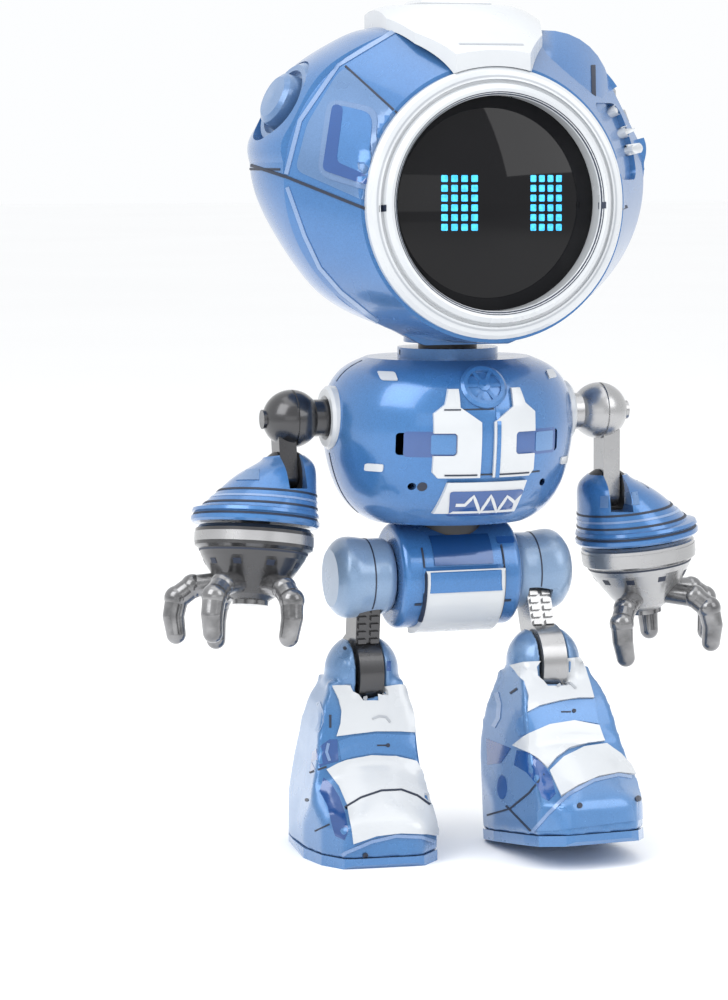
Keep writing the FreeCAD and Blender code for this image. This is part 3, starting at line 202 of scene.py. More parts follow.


# Tint of the painted sheen at grazing angles on the blue paints.
BLUE_SHEEN = (0.20, 0.31, 0.50)
PAINT = {
    "blue_shell": finish_material("blue_shell", (0.026, 0.128, 0.335), (0.038, 0.158, 0.385), 0.30, 0.24,
                                  coat=0.55, flake=0.14, edge=(0.11, 0.20, 0.39)),
    "boot_blue": finish_material("boot_blue", (0.030, 0.13, 0.32), (0.040, 0.155, 0.36), 0.3, 0.28,
                                 coat=0.5, flake=0.12, edge=BLUE_SHEEN,
                                 fade=(0.019, 0.031, (0.15, 0.25, 0.40))),
    "flank_blue": finish_material("flank_blue", (0.060, 0.135, 0.28), (0.076, 0.160, 0.32), 0.35, 0.30,
                                  coat=0.45, flake=0.12, edge=BLUE_SHEEN),
    "flank_rim": finish_material("flank_rim", (0.085, 0.155, 0.30), (0.105, 0.18, 0.33), 0.25, 0.26,
                                 coat=0.5, flake=0.10, edge=BLUE_SHEEN),
    # Lighter blue laid as narrow strips: a painted highlight along ridges, ribs and edges.
    "ridge_blue": finish_material("ridge_blue", (0.13, 0.22, 0.40), (0.16, 0.25, 0.44), 0.2, 0.28,
                                  coat=0.5, flake=0.10, edge=(0.3, 0.4, 0.56)),
    "band_blue": finish_material("band_blue", (0.045, 0.155, 0.36), (0.060, 0.18, 0.40), 0.25, 0.26,
                                 coat=0.5, flake=0.10, edge=BLUE_SHEEN),
    "pale_blue": finish_material("pale_blue", (0.145, 0.235, 0.37), (0.175, 0.27, 0.41), 0.2, 0.30,
                                 coat=0.4, flake=0.08, edge=(0.36, 0.45, 0.58)),
    # Dark blue: the glass of the windows, and painted shade on the boots and inside the head's window
    # recess.
    "blue_glass": finish_material("blue_glass", (0.008, 0.048, 0.19), (0.014, 0.075, 0.26), 0.1, 0.12,
                                  coat=0.9, flake=0.05),
    "dark_blue_gloss": finish_material("dark_blue_gloss", (0.008, 0.045, 0.16), (0.012, 0.07, 0.22),
                                       0.25, 0.14, coat=0.8, flake=0.05),
    "groove": finish_material("groove", (0.008, 0.014, 0.032), (0.014, 0.022, 0.045), 0.0, 0.5),
    "white_trim": finish_material("white_trim", (0.47, 0.49, 0.515), (0.53, 0.55, 0.57), 0.0, 0.24,
                                  coat=0.5, grain=0.03),
    "ring_shadow": finish_material("ring_shadow", (0.30, 0.32, 0.35), (0.36, 0.38, 0.41), 0.0, 0.3,
                                   coat=0.3, grain=0.03),
    "black_visor": finish_material("black_visor", (0.002, 0.002, 0.003), (0.004, 0.004, 0.005), 0.0,
                                   0.035, grain=0.004, shine=0.22),
    "circuit_board": finish_material("circuit_board", (0.01, 0.06, 0.03), (0.02, 0.10, 0.05), 0.0, 0.4),
    "black_plastic": finish_material("black_plastic", (0.012, 0.012, 0.014), (0.022, 0.022, 0.025),
                                     0.0, 0.42, grain=0.12),
    "gunmetal": finish_material("gunmetal", (0.030, 0.030, 0.033), (0.065, 0.065, 0.068), 0.85, 0.24,
                                coat=0.3, grain=0.10, edge=(0.15, 0.15, 0.155)),
    "claw_metal": finish_material("claw_metal", (0.11, 0.11, 0.113), (0.26, 0.26, 0.265), 0.85, 0.22,
                                  coat=0.2, cloud_scale=420, grain=0.12, edge=(0.3, 0.3, 0.31)),
    # Pale metal; on the left shoulder ball, hand cup and leg link it is a painted highlight, a lit copy of
    # their dark metal.
    "pale_metal": finish_material("pale_metal", (0.29, 0.29, 0.295), (0.42, 0.42, 0.425), 0.85, 0.26,
                                  grain=0.08, edge=(0.5, 0.5, 0.5)),
    "steel": finish_material("steel", (0.38, 0.38, 0.40), (0.48, 0.48, 0.50), 0.9, 0.30, grain=0.12),
}
# The left shoulder ball, hand cup and leg link take the pale metal as a painted highlight.
NODE_PAINTS = {"hip_pod_outer_right": "pale_blue", "hip_pod_outer_left": "pale_blue",
               "hip_pod_inner_right": "pale_blue", "hip_pod_inner_left": "pale_blue",
               "sole_plate_right": "band_blue", "sole_plate_left": "band_blue",
               "ear_knob_right": "flank_blue", "ear_fan_left": "ring_shadow",
               "shoulder_ball_left": "pale_metal", "hand_cup_left": "pale_metal",
               "leg_link_left": "pale_metal",
               "hand_claws_right": "claw_metal", "hand_claws_left": "claw_metal",
               "foot_shell_right": "boot_blue", "foot_shell_left": "boot_blue"}


def led_material():
    """Glowing cyan with a little mottling."""
    material, tree, shader = new_material("cyan_led")
    cloud = noise(tree, 2200, 2.0)
    colour = ramp(tree, cloud.outputs["Fac"], ((0.3, (0.02, 0.28, 0.62)), (0.7, (0.05, 0.45, 0.82))))
    tree.links.new(colour.outputs["Color"], shader.inputs["Base Color"])
    tree.links.new(colour.outputs["Color"], shader.inputs["Emission Color"])
    shader.inputs["Emission Strength"].default_value = 0.8
    vary_roughness(tree, shader, cloud, 0.3, 0.5)
    return material


PAINT["cyan_led"] = led_material()


# ---------------------------------------------------------------- mesh helpers

def make_object(name, mesh, body, slot):
    """Put a mesh in the scene, in its paint, riding on a body."""
    piece = bpy.data.objects.new(name, mesh)
    bpy.context.scene.collection.objects.link(piece)
    mesh.materials.clear()
    mesh.materials.append(PAINT[slot])
    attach(piece, body)
    return piece


record_slots = {row["node"]: row["material_slot"] for row in frame["record"]["subparts"]}
body_of = {name: body for body, names in frame["record"]["behaviour"]["bodies"].items() for name in names}


def node_paint(node):
    """The paint of a CAD node."""
    return NODE_PAINTS.get(node, record_slots[node])


for node_name, cad_node in nodes.items():
    cad_node.data.materials.clear()
    cad_node.data.materials.append(PAINT[node_paint(node_name)])


# ---------------------------------------------------------------- laying details on surfaces

RIGHT_WAY = math.cos(math.radians(CAMERA_AZIMUTH)), math.sin(math.radians(CAMERA_AZIMUTH))


def sight(across, height):
    """A ray from the viewing point through (across, height) on the upright plane through the origin.

    The spots given with this ray are the photograph's own positions under one scale and one offset.
    They are not measured in the robot's frame, and should be set again there.
    """
    turn = math.radians(CAMERA_AZIMUTH)
    eye = Vector((math.sin(turn) * CAMERA_DISTANCE, -math.cos(turn) * CAMERA_DISTANCE, CAMERA_HEIGHT))
    target = Vector((RIGHT_WAY[0] * across, RIGHT_WAY[1] * across, height))
    return eye, (target - eye).normalized()


def square_on(azimuth):
    """Parallel rays that meet the robot from one azimuth; 0 is the front."""
    turn = math.radians(azimuth)
    side = Vector((math.cos(turn), math.sin(turn), 0))
    out = Vector((math.sin(turn), -math.cos(turn), 0))
    return lambda across, height: (side * across + out * RAY_START + Vector((0, 0, height)), -out)


FRONT = square_on(0)
BACK = square_on(180)


def front_skin():
    """The straight-ruled skin between the face ring and the ridge, without its window recesses."""
    points, faces = [], []
    for step in range(SKIN_STEPS):
        angle = 2 * math.pi * step / SKIN_STEPS
        points.append(Vector((FACE_OUTER_RADIUS * math.cos(angle), -FACE_PLANE,
                              FACE_HEIGHT + FACE_OUTER_RADIUS * math.sin(angle))))
        points.append(Vector((RIDGE_HALF_WIDTH * math.cos(angle), -RIDGE_PLANE,
                              RIDGE_MIDDLE + RIDGE_HALF_HEIGHT * math.sin(angle))))
    for step in range(SKIN_STEPS):
        near, far = 2 * step, 2 * ((step + 1) % SKIN_STEPS)
        faces.append([near, near + 1, far + 1, far])
    return points, faces


def surface(*names, extra=((), ())):
    """One ray-casting tree, in millimetres, over several CAD nodes and any extra skin."""
    points, faces = list(extra[0]), list(extra[1])
    for name in names:
        node = nodes[name]
        base = len(points)
        points += [(node.matrix_world @ vertex.co) / MM for vertex in node.data.vertices]
        faces += [[base + index for index in polygon.vertices] for polygon in node.data.polygons]
    return BVHTree.FromPolygons(points, faces)


class SmoothSheet:
    """A quadratic sheet fitted through landed points, used to bridge a recess."""

    def __init__(self, tree, ray, spots):
        rows, depths = [], []
        for spot in spots:
            found = land(tree, ray, spot)
            if found:
                rows.append(self.terms(*spot))
                depths.append((found[0] - ray(*spot)[0]).length)
        self.weights = np.linalg.lstsq(np.array(rows), np.array(depths), rcond=None)[0]

    @staticmethod
    def terms(across, height):
        return [1.0, across, height, across * across, across * height, height * height]

    def point(self, ray, across, height):
        eye, aim = ray(across, height)
        return eye + aim * float(np.dot(self.weights, self.terms(across, height)))

    def land(self, ray, spot):
        across, height = spot
        place = self.point(ray, across, height)
        right = self.point(ray, across + SLOPE_STEP, height) - place
        up = self.point(ray, across, height + SLOPE_STEP) - place
        normal = right.cross(up).normalized()
        return place, normal if normal.dot(ray(across, height)[1]) < 0 else -normal


def land(tree, ray, spot):
    """Where a ray meets the surface, with the normal that faces the viewer."""
    if isinstance(tree, SmoothSheet):
        return tree.land(ray, spot)
    eye, aim = ray(*spot)
    place, normal, _, _ = tree.ray_cast(eye, aim)
    if place is None:
        return None
    return place, normal if normal.dot(aim) < 0 else -normal


DETAILS = {}


def add_detail(body, paint, points, faces):
    """Collect geometry; everything of one body and paint becomes one piece."""
    held_points, held_faces = DETAILS.setdefault((body, paint), ([], []))
    base = len(held_points)
    held_points += points
    held_faces += [[base + index for index in face] for face in faces]


def soften(outline, reach, steps=4):
    """Round the corners of an outline."""
    rounded = []
    count = len(outline)
    for index in range(count):
        before, corner, after = (Vector(outline[(index + k) % count]) for k in (-1, 0, 1))
        start = corner + (before - corner) * min(0.5, reach / max((before - corner).length, 1e-6))
        end = corner + (after - corner) * min(0.5, reach / max((after - corner).length, 1e-6))
        for step in range(steps + 1):
            t = step / steps
            rounded.append(start * (1 - t) ** 2 + corner * 2 * t * (1 - t) + end * t * t)
    return rounded


def resample(path, step, closed):
    """Evenly spaced points along a path."""
    spots = [Vector(spot) for spot in path]
    if closed:
        spots.append(spots[0])
    even = []
    for start, end in zip(spots, spots[1:]):
        count = max(1, math.ceil((end - start).length / step))
        even += [start.lerp(end, k / count) for k in range(count)]
    if not closed:
        even.append(spots[-1])
    return even


def patch(body, paint, tree, ray, outline, lift=0.15, sink=0.35, step=0.9, corner=0.0):
    """A thin panel laid on a surface; its outline is in the ray's own millimetres."""
    if corner:
        outline = soften(outline, corner)
    rim = resample(outline, step, True)
    low = Vector((min(p.x for p in rim), min(p.y for p in rim)))
    high = Vector((max(p.x for p in rim), max(p.y for p in rim)))
    inner = []
    rows = int((high.y - low.y) / step)
    columns = int((high.x - low.x) / step)
    for row in range(1, rows + 1):
        for column in range(1, columns + 1):
            spot = Vector((low.x + column * step, low.y + row * step))
            if min((spot - edge).length for edge in rim) > step * RIM_CLEARANCE:
                inner.append(spot)
    loop = [(index, (index + 1) % len(rim)) for index in range(len(rim))]
    spots, _, faces, _, _, _ = delaunay_2d_cdt(rim + inner, loop, [], 1, 1e-5)
    middle = sum((Vector(spot) for spot in rim), Vector((0, 0))) / len(rim)
    tops, bottoms = [], []
    for spot in spots:
        found = land(tree, ray, spot)
        for pull in range(1, PULL_STEPS + 1):
            found = found or land(tree, ray, spot.lerp(middle, PULL_SHARE * pull))
        if found is None:
            return
        tops.append(found[0] + found[1] * lift)
        bottoms.append(found[0] - found[1] * sink)
    count = len(tops)
    longest = step * LONGEST_EDGE_STEPS
    faces = [face for face in faces
             if max((tops[face[k]] - tops[face[k - 1]]).length for k in range(len(face))) < longest]
    sides = {}
    for face in faces:
        for a, b in zip(face, list(face[1:]) + [face[0]]):
            sides[(a, b)] = sides.get((a, b), 0) + 1
    walls = [(b, a, a + count, b + count) for a, b in sides if (b, a) not in sides]
    add_detail(body, paint, tops + bottoms, [list(face) for face in faces] + [list(w) for w in walls])


def strip(body, paint, tree, ray, path, width, lift=0.08, step=0.7, closed=False):
    """A narrow line laid along a path on a surface; it is left out where the rays miss or jump."""
    spots = resample(path, step, closed)
    count = len(spots)
    rows = []
    for index, spot in enumerate(spots):
        before = spots[index - 1] if closed or index else spot
        after = spots[(index + 1) % count] if closed or index < count - 1 else spot
        way = (after - before).normalized()
        out = Vector((-way.y, way.x)) * (width / 2)
        found = [land(tree, ray, spot + out), land(tree, ray, spot - out)]
        rows.append(None if None in found else found)
    pairs = list(zip(range(count), range(1, count)))
    if closed:
        pairs.append((count - 1, 0))
    for near, far in pairs:
        if rows[near] is None or rows[far] is None:
            continue
        if (rows[near][0][0] - rows[far][0][0]).length > step * LONGEST_GAP:
            continue
        points = []
        for row in (rows[near], rows[far]):
            (left, left_up), (right, right_up) = row
            points += [left - left_up * SINK, left + left_up * lift,
                       right + right_up * lift, right - right_up * SINK]
        add_detail(body, paint, points, [[0, 1, 5, 4], [1, 2, 6, 5], [2, 3, 7, 6]])


def ellipse(middle, across, upward, steps):
    """Evenly turned points round an upright ellipse, from its half widths."""
    return [(middle[0] + across * math.cos(2 * math.pi * k / steps),
             middle[1] + upward * math.sin(2 * math.pi * k / steps)) for k in range(steps)]


def box(middle, across, upward):
    """The corners of an upright rectangle, from its half widths."""
    return [(middle[0] + a * across, middle[1] + b * upward)
            for a, b in ((-1, -1), (1, -1), (1, 1), (-1, 1))]


def dot(body, paint, tree, ray, spot, radius, lift=0.06, sides=16):
    """A small round mark, laid as a patch with many sides."""
    patch(body, paint, tree, ray, ellipse(spot, radius, radius, sides), lift, SINK, radius * 1.2)


def hoop(body, paint, tree, centre, axis, level, width, lift=0.08, arc=(0, 360), count=72, reach=60):
    """A narrow band round an axis, found by rays that come in from outside; 0 degrees is the front."""
    centre, axis = Vector(centre), Vector(axis).normalized()
    front = Vector((0, -1, 0)) - axis * Vector((0, -1, 0)).dot(axis)
    front.normalize()
    side = front.cross(axis)
    rows = []
    for step in range(count + 1):
        turn = math.radians(arc[0] + (arc[1] - arc[0]) * step / count)
        out = front * math.cos(turn) - side * math.sin(turn)
        found = []
        for height in (level + width / 2, level - width / 2):
            place, normal, _, _ = tree.ray_cast(centre + axis * height + out * reach, -out)
            found.append(None if place is None else (place, normal if normal.dot(out) > 0 else -normal))
        rows.append(None if None in found else found)
    for near, far in zip(rows, rows[1:]):
        if near is None or far is None or (near[0][0] - far[0][0]).length > LONGEST_GAP:
            continue
        points = []
        for (upper, upper_out), (lower, lower_out) in (near, far):
            points += [upper - upper_out * SINK, upper + upper_out * lift,
                       lower + lower_out * lift, lower - lower_out * SINK]
        add_detail(body, paint, points, [[0, 1, 5, 4], [1, 2, 6, 5], [2, 3, 7, 6]])


def build_details():
    """Make one piece for each body and paint; the feet's white pieces replace the CAD panels."""
    for (body, paint), (points, faces) in DETAILS.items():
        mesh = bpy.data.meshes.new(f"{body}_{paint}_details")
        mesh.from_pydata([point * MM for point in points], [], faces)
        work = bmesh.new()
        work.from_mesh(mesh)
        bmesh.ops.remove_doubles(work, verts=work.verts, dist=MERGE_M)
        bmesh.ops.recalc_face_normals(work, faces=work.faces)
        work.to_mesh(mesh)
        work.free()
        for polygon in mesh.polygons:
            polygon.use_smooth = True
        mesh.set_sharp_from_angle(angle=math.radians(SHARP_ANGLE))
        piece = make_object(f"{body}_{paint}_details", mesh, body, paint)
        if paint == "white_trim" and body.startswith("foot_"):
            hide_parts(body.replace("foot_", "foot_panels_"))


# ---------------------------------------------------------------- head

head_skin = surface("head_upper_shell", "head_lower_shell", "ear_knob_right")
flank = ((-13.81, 106.11), (-7.01, 99.85), (-8.78, 88.15), (-11.09, 88.01), (-20.62, 92.23),
         (-18.99, 98.49), (-15.04, 105.02))
flank_sheet = surface("head_upper_shell", "head_lower_shell", "ear_knob_right", extra=front_skin())
patch("head", "flank_blue", flank_sheet, sight, flank, 0.08, corner=1.2)
patch("head", "flank_rim", flank_sheet, sight, ((-16.13, 101.89), (-9.32, 100.53), (-10.14, 89.24),
                                                (-17.62, 91.55)), 0.2, corner=1.8)
patch("head", "blue_shell", flank_sheet, sight, ((-15.45, 101.08), (-10, 99.85), (-10.82, 90.19),
                                                 (-16.81, 92.23)), 0.28, corner=1.6)
# Painted shade along the left and lower walls of the window recess.
patch("head", "blue_glass", flank_sheet, sight, ((-15.45, 101.08), (-13.95, 100.8), (-14.9, 93.32),
                                                 (-11.09, 91.69), (-10.82, 90.19), (-16.81, 92.23)),
      0.32, corner=0.8)
# Painted highlights along the ridge lines of the head.
strip("head", "ridge_blue", head_skin, sight, ((-6.06, 111.56), (-14.77, 106.38), (-19.94, 98.9),
                                               (-21.84, 91.69)), 0.55, 0.12)
strip("head", "ridge_blue", head_skin, sight, ((-21.71, 89.92), (-19.39, 83.38), (-17.35, 79.03),
                                               (-14.49, 75.76), (-9.46, 71.68)), 0.5, 0.12)
strip("head", "groove", head_skin, sight, ((-13.81, 106.25), (-6.87, 99.99)), 0.28, 0.12)
strip("head", "groove", head_skin, sight, ((-26.61, 92.91), (-21.71, 91.28), (-11.23, 87.06)), 0.38, 0.14)
strip("head", "groove", head_skin, sight, ((21.84, 86.24), (26.2, 88.15)), 0.38, 0.14)
hoop("head", "groove", head_skin, (0, 0, 0), (0, 0, 1), SEAM_LEVEL, 0.3, arc=(74, 286), count=110)

ring_skin = surface("face_ring", "visor_lens")
for radius, paint, width, lift in ((14.3, "groove", 0.35, 0.05), (16.5, "ring_shadow", 0.22, 0.04)):
    strip("head", paint, ring_skin, FRONT, ellipse((0, FACE_HEIGHT), radius, radius, RING_STEPS), width,
          lift, closed=True)
for spot in ((-8.78, 87.06), (21.03, 87.47)):
    patch("head", "groove", surface("face_ring"), sight,
          [(spot[0] + a, spot[1] + b)
           for a, b in ((-0.5, -0.5), (0.5, -0.4), (0.5, 0.5), (-0.5, 0.4))], 0.06)

lens_skin = surface("visor_lens")
# The dots of the eyes.  Their columns and rows are the photograph's own too, as the note in sight says.
LED_COLUMNS = (-0.41, 0.95, 2.31, 3.67, 11.64, 12.79, 13.95, 15.10)
LED_ROWS = 6
LED_TOP_ROW = 91.1
LED_ROW_GAP = 1.32
LED_HALF_HEIGHT = 0.46
BETWEEN_EYES = 8
for column in LED_COLUMNS:
    for row in range(LED_ROWS):
        middle = (column, LED_TOP_ROW - LED_ROW_GAP * row)
        half = 0.44 if column < BETWEEN_EYES else 0.38
        patch("head", "cyan_led", lens_skin, sight, box(middle, half, LED_HALF_HEIGHT), 0.05, 0.1, 0.6,
              corner=0.16)


BROW_TURN = 50
BROW_SIDES = 48


def brow_ring(station):
    """One ellipse of the brow; a station is its depth ahead, two half widths and its shift outward."""
    ahead, wide, deep, shift = station
    turn = math.radians(BROW_TURN)
    points = []
    for step in range(BROW_SIDES):
        angle = 2 * math.pi * step / BROW_SIDES
        x = shift + wide * math.cos(angle)
        y = deep * math.sin(angle)
        points.append(Vector((x * math.cos(turn) - y * math.sin(turn), -ahead,
                              FACE_HEIGHT + x * math.sin(turn) + y * math.cos(turn))))
    return points


def build_brow():
    """The swelling over the left temple, a hood lofted through ellipses."""
    stations = ((16.9, 13.2, 10.2, 5.2), (13.0, 17.4, 11.6, 5.6), (8.0, 21.2, 13.3, 6.0),
                (5.0, 21.0, 13.2, 6.0), (2.0, 19.8, 12.4, 6.0), (-1.5, 16.8, 11.4, 6.0),
                (-5.0, 13.0, 10.0, 6.0))
    rings = [brow_ring(station) for station in stations]
    points = [point for ring in rings for point in ring]
    faces = []
    for row in range(len(rings) - 1):
        near, far = row * BROW_SIDES, (row + 1) * BROW_SIDES
        for step in range(BROW_SIDES):
            after = (step + 1) % BROW_SIDES
            faces.append([near + step, near + after, far + after, far + step])
    faces.append(list(range(BROW_SIDES)))
    faces.append([len(points) - 1 - k for k in range(BROW_SIDES)])
    add_detail("head", "blue_shell", points, faces)
    return BVHTree.FromPolygons(points, faces)


brow_tree = build_brow()
# Painted highlight: a white strip along the top of the brow.
strip("head", "white_trim", brow_tree, sight, ((14.77, 112.92), (17.22, 112.65), (18.85, 110.47),
                                               (19.8, 108.02)), 1.5, 0.12)
# Painted highlights: three raised white studs where the left ear catches the light.
fan_skin = surface("ear_fan_left", "head_upper_shell")
for spot in ((22.39, 100.12), (23.75, 97.27), (24.7, 94.95)):
    dot("head", "white_trim", fan_skin, sight, spot, 0.75, 1.1)
strip("head", "groove", brow_tree, sight, ((19.67, 106.38), (19.8, 100.4)), 0.55, 0.10)
# Painted highlight along the edge of the brow.
strip("head", "ridge_blue", brow_tree, sight, ((20.89, 106.11), (21.57, 104.21), (23.2, 102.03)), 0.7, 0.10)

strip("head", "ring_shadow", surface("crest_panel"), FRONT, ((-4.6, 108.6), (4.2, 108.6)), 0.2, 0.05)

back_skin = surface("head_upper_shell", "head_lower_shell", "battery_door", "inner_frame")
strip("head", "groove", back_skin, BACK, ((-9.6, 77.5), (9.6, 77.5), (9.6, 89.4), (-9.6, 89.4)), 0.3,
      0.05, closed=True)
# Painted highlights on the ribs of the battery door.
for height in (80.6, 82.2, 83.8, 85.4):
    strip("head", "ridge_blue", back_skin, BACK, ((-5.5, height + 1.6), (5.5, height + 1.6)), 0.5, 0.16)

# ---------------------------------------------------------------- torso and pelvis

torso_skin = surface("torso_front_shell")
for low, high in ((-10.5, -3.7), (4.1, 10.9)):
    rim_spots = [(low + (high - low) * k / 6, z) for k in range(7) for z in (53.4, 59.2)]
    rim_spots += [(x, z) for x in (low - 1.0, high + 1.0) for z in (54.6, 56.3, 58.0)]
    glass_sheet = SmoothSheet(torso_skin, FRONT, rim_spots)
    patch("torso", "blue_glass", glass_sheet, FRONT, ((low, 54.6), (high, 54.6), (high, 58), (low, 58)),
          0.05, 0.6, corner=0.5, step=0.7)
    patch("torso", "band_blue", glass_sheet, FRONT,
          ((low + 3.2, 55.0), (high - 0.5, 55.0), (high - 0.5, 57.6), (low + 3.2, 57.6)), 0.14,
          corner=0.3, step=0.7)
plate_skin = surface("chest_plates", "torso_front_shell")
strip("torso", "blue_shell", plate_skin, FRONT, ((1.5, 61.2), (1.5, 51.8)), 0.55, 0.10)
strip("torso", "groove", plate_skin, FRONT, ((-5.6, 52.2), (8.4, 52.2)), 0.2, 0.08)
strip("torso", "groove", plate_skin, FRONT, ((-5.8, 60.9), (1.0, 60.9)), 0.18, 0.08)
belly_skin = surface("belly_plate", "torso_front_shell")
patch("torso", "blue_glass", belly_skin, FRONT, ((-4.4, 46.5), (5.0, 46.5), (5.7, 50.0), (-4.8, 50.0)),
      0.12, corner=0.5)
strip("torso", "white_trim", belly_skin, FRONT,
      ((-3.8, 48.2), (-2.6, 48.2), (-1.6, 49.4), (-0.4, 47.1), (0.8, 49.4), (2.0, 47.1), (3.2, 49.2),
       (4.6, 48.2)), 0.4, 0.2)
for spot in ((-8.0, 50.6), (9.1, 50.5)):
    dot("torso", "groove", torso_skin, FRONT, spot, 0.6)
for spot in ((-11.4, 65.0), (-13.4, 53.0), (11.6, 64.8), (13.4, 53.2)):
    patch("torso", "white_trim", torso_skin, FRONT, box(spot, 0.9, 0.5), 0.22, corner=0.25, step=0.6)
for azimuth in (90, -90):
    strip("torso", "groove", surface("torso_front_shell", "torso_back_shell"), square_on(azimuth),
          ((0, 46), (0, 68)), 0.25, 0.06)

pelvis_skin = surface("pelvis_front_shell", "pelvis_window", "pelvis_belly_panel")
for spot, wide in (((-8.1, 41.6), 1.3), ((6.5, 42.1), 1.3), ((-8.5, 34.4), 0.9)):
    patch("pelvis", "blue_glass", pelvis_skin, FRONT, box(spot, wide, 0.4), 0.08, corner=0.3, step=0.6)
patch("pelvis", "blue_shell", pelvis_skin, FRONT, ((-5.9, 35.6), (5.9, 35.6), (5.9, 39.0), (-5.9, 39.0)),
      0.12)
for across in (-5.7, 5.7):
    strip("pelvis", "groove", pelvis_skin, FRONT, ((across, 31.5), (across, 41.5)), 0.22, 0.16)
for across in (-6.9, 6.9):
    strip("pelvis", "groove", pelvis_skin, FRONT, ((across, 34.0), (across * 0.86, 34.0)), 0.3, 0.1)

# ---------------------------------------------------------------- arms

ARM_SWING = {"right": -10.0, "left": 0.0}
ARM_DROP = {"right": 0.0, "left": 3.8}
for side, sign in SIDES.items():
    forearm = f"forearm_{side}"
    bell_skin = surface(f"forearm_bell_{side}")
    swing = Matrix.Rotation(math.radians(ARM_SWING[side]), 3, "X")
    pivot = Vector((0, 0, SHOULDER_HEIGHT))
    rim = pivot + swing @ (Vector((sign * BELL_REACH, 0, BELL_HEIGHT - ARM_DROP[side])) - pivot)
    lean = math.radians(-sign * BELL_TILT)
    axis = swing @ Vector((math.sin(lean), 0, math.cos(lean)))
    # The middle ring is a painted highlight on the bell's bead between two grooves.
    for level, paint in ((2.6, "groove"), (3.5, "ridge_blue"), (4.4, "groove")):
        hoop(forearm, paint, bell_skin, rim, axis, level, 0.28, 0.07, reach=ARM_REACH)
    hoop(forearm, "groove", bell_skin, rim, axis, 1.05, 0.3, 0.04, reach=ARM_REACH)
    hoop(forearm, "white_trim", bell_skin, rim, axis, 9.4, 0.8, 0.15, arc=(-18, 8), count=8, reach=ARM_REACH)
    if side == "left":
        hoop(forearm, "blue_glass", bell_skin, rim, axis, 7.6, 1.0, 0.08, arc=(24, 58), count=10,
             reach=ARM_REACH)
    hoop(forearm, "flank_blue", bell_skin, rim, axis, 6.4, 1.6, 0.12, arc=(-58, -14), count=10,
         reach=ARM_REACH)
    cup_skin = surface(f"hand_cup_{side}")
    hoop(f"hand_{side}", "pale_metal", cup_skin, rim, axis, -1.9, 1.3, 0.10, reach=ARM_REACH)
    hoop(f"hand_{side}", "groove", cup_skin, rim, axis, -3.6, 0.25, 0.05, reach=ARM_REACH)
    for turn in (-70, -35, 5, 50, 90, 150, 200, 250):
        hoop(f"hand_{side}", "groove", cup_skin, rim, axis, -5.2, 0.7, 0.04, arc=(turn - 5, turn + 5),
             count=4, reach=ARM_REACH)

# ---------------------------------------------------------------- legs and boots

for side in SIDES:
    for part in ("inner", "outer"):
        pod_skin = surface(f"hip_pod_{part}_{side}")
        hoop(f"leg_{side}", "groove", pod_skin, (SIDES[side] * LEG_REACH, 0, HIP_HEIGHT), (1, 0, 0), 0,
             0.2, 0.04, reach=ARM_REACH)


def moulded(node, voxel, passes):
    """Stand in for a CAD node with a softly rounded skin of the same shape."""
    piece = make_object(f"{node}_moulded", nodes[node].data.copy(), body_of[node], node_paint(node))
    skin = piece.modifiers.new("Skin", "REMESH")
    skin.mode = "VOXEL"
    skin.voxel_size = voxel * MM
    skin.use_smooth_shade = True
    soft = piece.modifiers.new("Soft", "SMOOTH")
    soft.factor = 0.5
    soft.iterations = passes
    evaluated = piece.evaluated_get(bpy.context.evaluated_depsgraph_get())
    mesh = bpy.data.meshes.new_from_object(evaluated)
    piece.modifiers.clear()
    piece.data = mesh
    mesh.materials.clear()
    mesh.materials.append(PAINT[node_paint(node)])
    mesh.shade_smooth()
    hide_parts(node)
    return ([vertex.co / MM for vertex in mesh.vertices],
            [list(polygon.vertices) for polygon in mesh.polygons])


def boot_surface(side):
    """The ray-casting tree of a moulded boot."""
    points, faces = moulded(f"foot_shell_{side}", 0.38, 9)
    return BVHTree.FromPolygons(points, faces)


boot = boot_surface("right")
foot = "foot_right"
upper_white = ((-15.86, 21.46), (-13.95, 21.73), (-11.91, 21.6), (-8.51, 21.46), (-5.92, 21.73),
               (-5.24, 20.1), (-4.7, 17.38), (-4.56, 15.06), (-6.46, 15.2),
               (-9.87, 15.2), (-13.27, 14.79), (-15.31, 14.52), (-14.77, 16.29), (-14.63, 18.06),
               (-15.04, 19.69))
lower_white = ((-16.67, 9.89), (-13.95, 11.25), (-10.55, 11.93), (-7.15, 11.8), (-4.29, 10.98),
               (-3.2, 8.53), (-2.25, 5.81), (-1.29, 2.41), (-0.75, 0.5),
               (-3.06, 0.91), (-6.46, 1.05), (-9.87, 0.64), (-13, -0.45), (-13.27, 1.73),
               (-13.81, 4.86), (-14.9, 7.44))
band = ((-15.04, 13.84), (-13.27, 14.52), (-9.87, 14.93), (-4.56, 14.66), (-4.42, 11.25), (-6.46, 11.93),
        (-9.87, 12.21), (-13.27, 11.66), (-14.63, 11.12))
band_shade = ((-18.58, 12.34), (-16.26, 14.11), (-15.17, 14.11), (-15.04, 11.12), (-16.94, 10.57),
              (-18.85, 9.62))
flank_shade = ((-17.08, 8.8), (-15.99, 7.85), (-14.9, 6.08), (-14.09, 3.77), (-13.68, 1.32),
               (-14.22, 0.09), (-15.45, 0.64), (-15.99, 2.41), (-16.54, 4.86),
               (-17.62, 6.9))
toe_plate = ((-16.54, -3.45), (-13.95, -1.68), (-10.55, -0.18), (-7.15, 0.64), (-3.74, 0.5),
             (-1.84, -0.18), (-0.88, -1.68), (-0.88, -3.04), (-6.46, -3.72),
             (-11.91, -3.99))
for white in (upper_white, lower_white):
    patch(foot, "white_trim", boot, sight, white, WHITE_LIFT, step=0.7)
patch(foot, "band_blue", boot, sight, band, 0.12)
# Painted shade under the band on the boot's side.
patch(foot, "blue_glass", boot, sight, band_shade, 0.07)
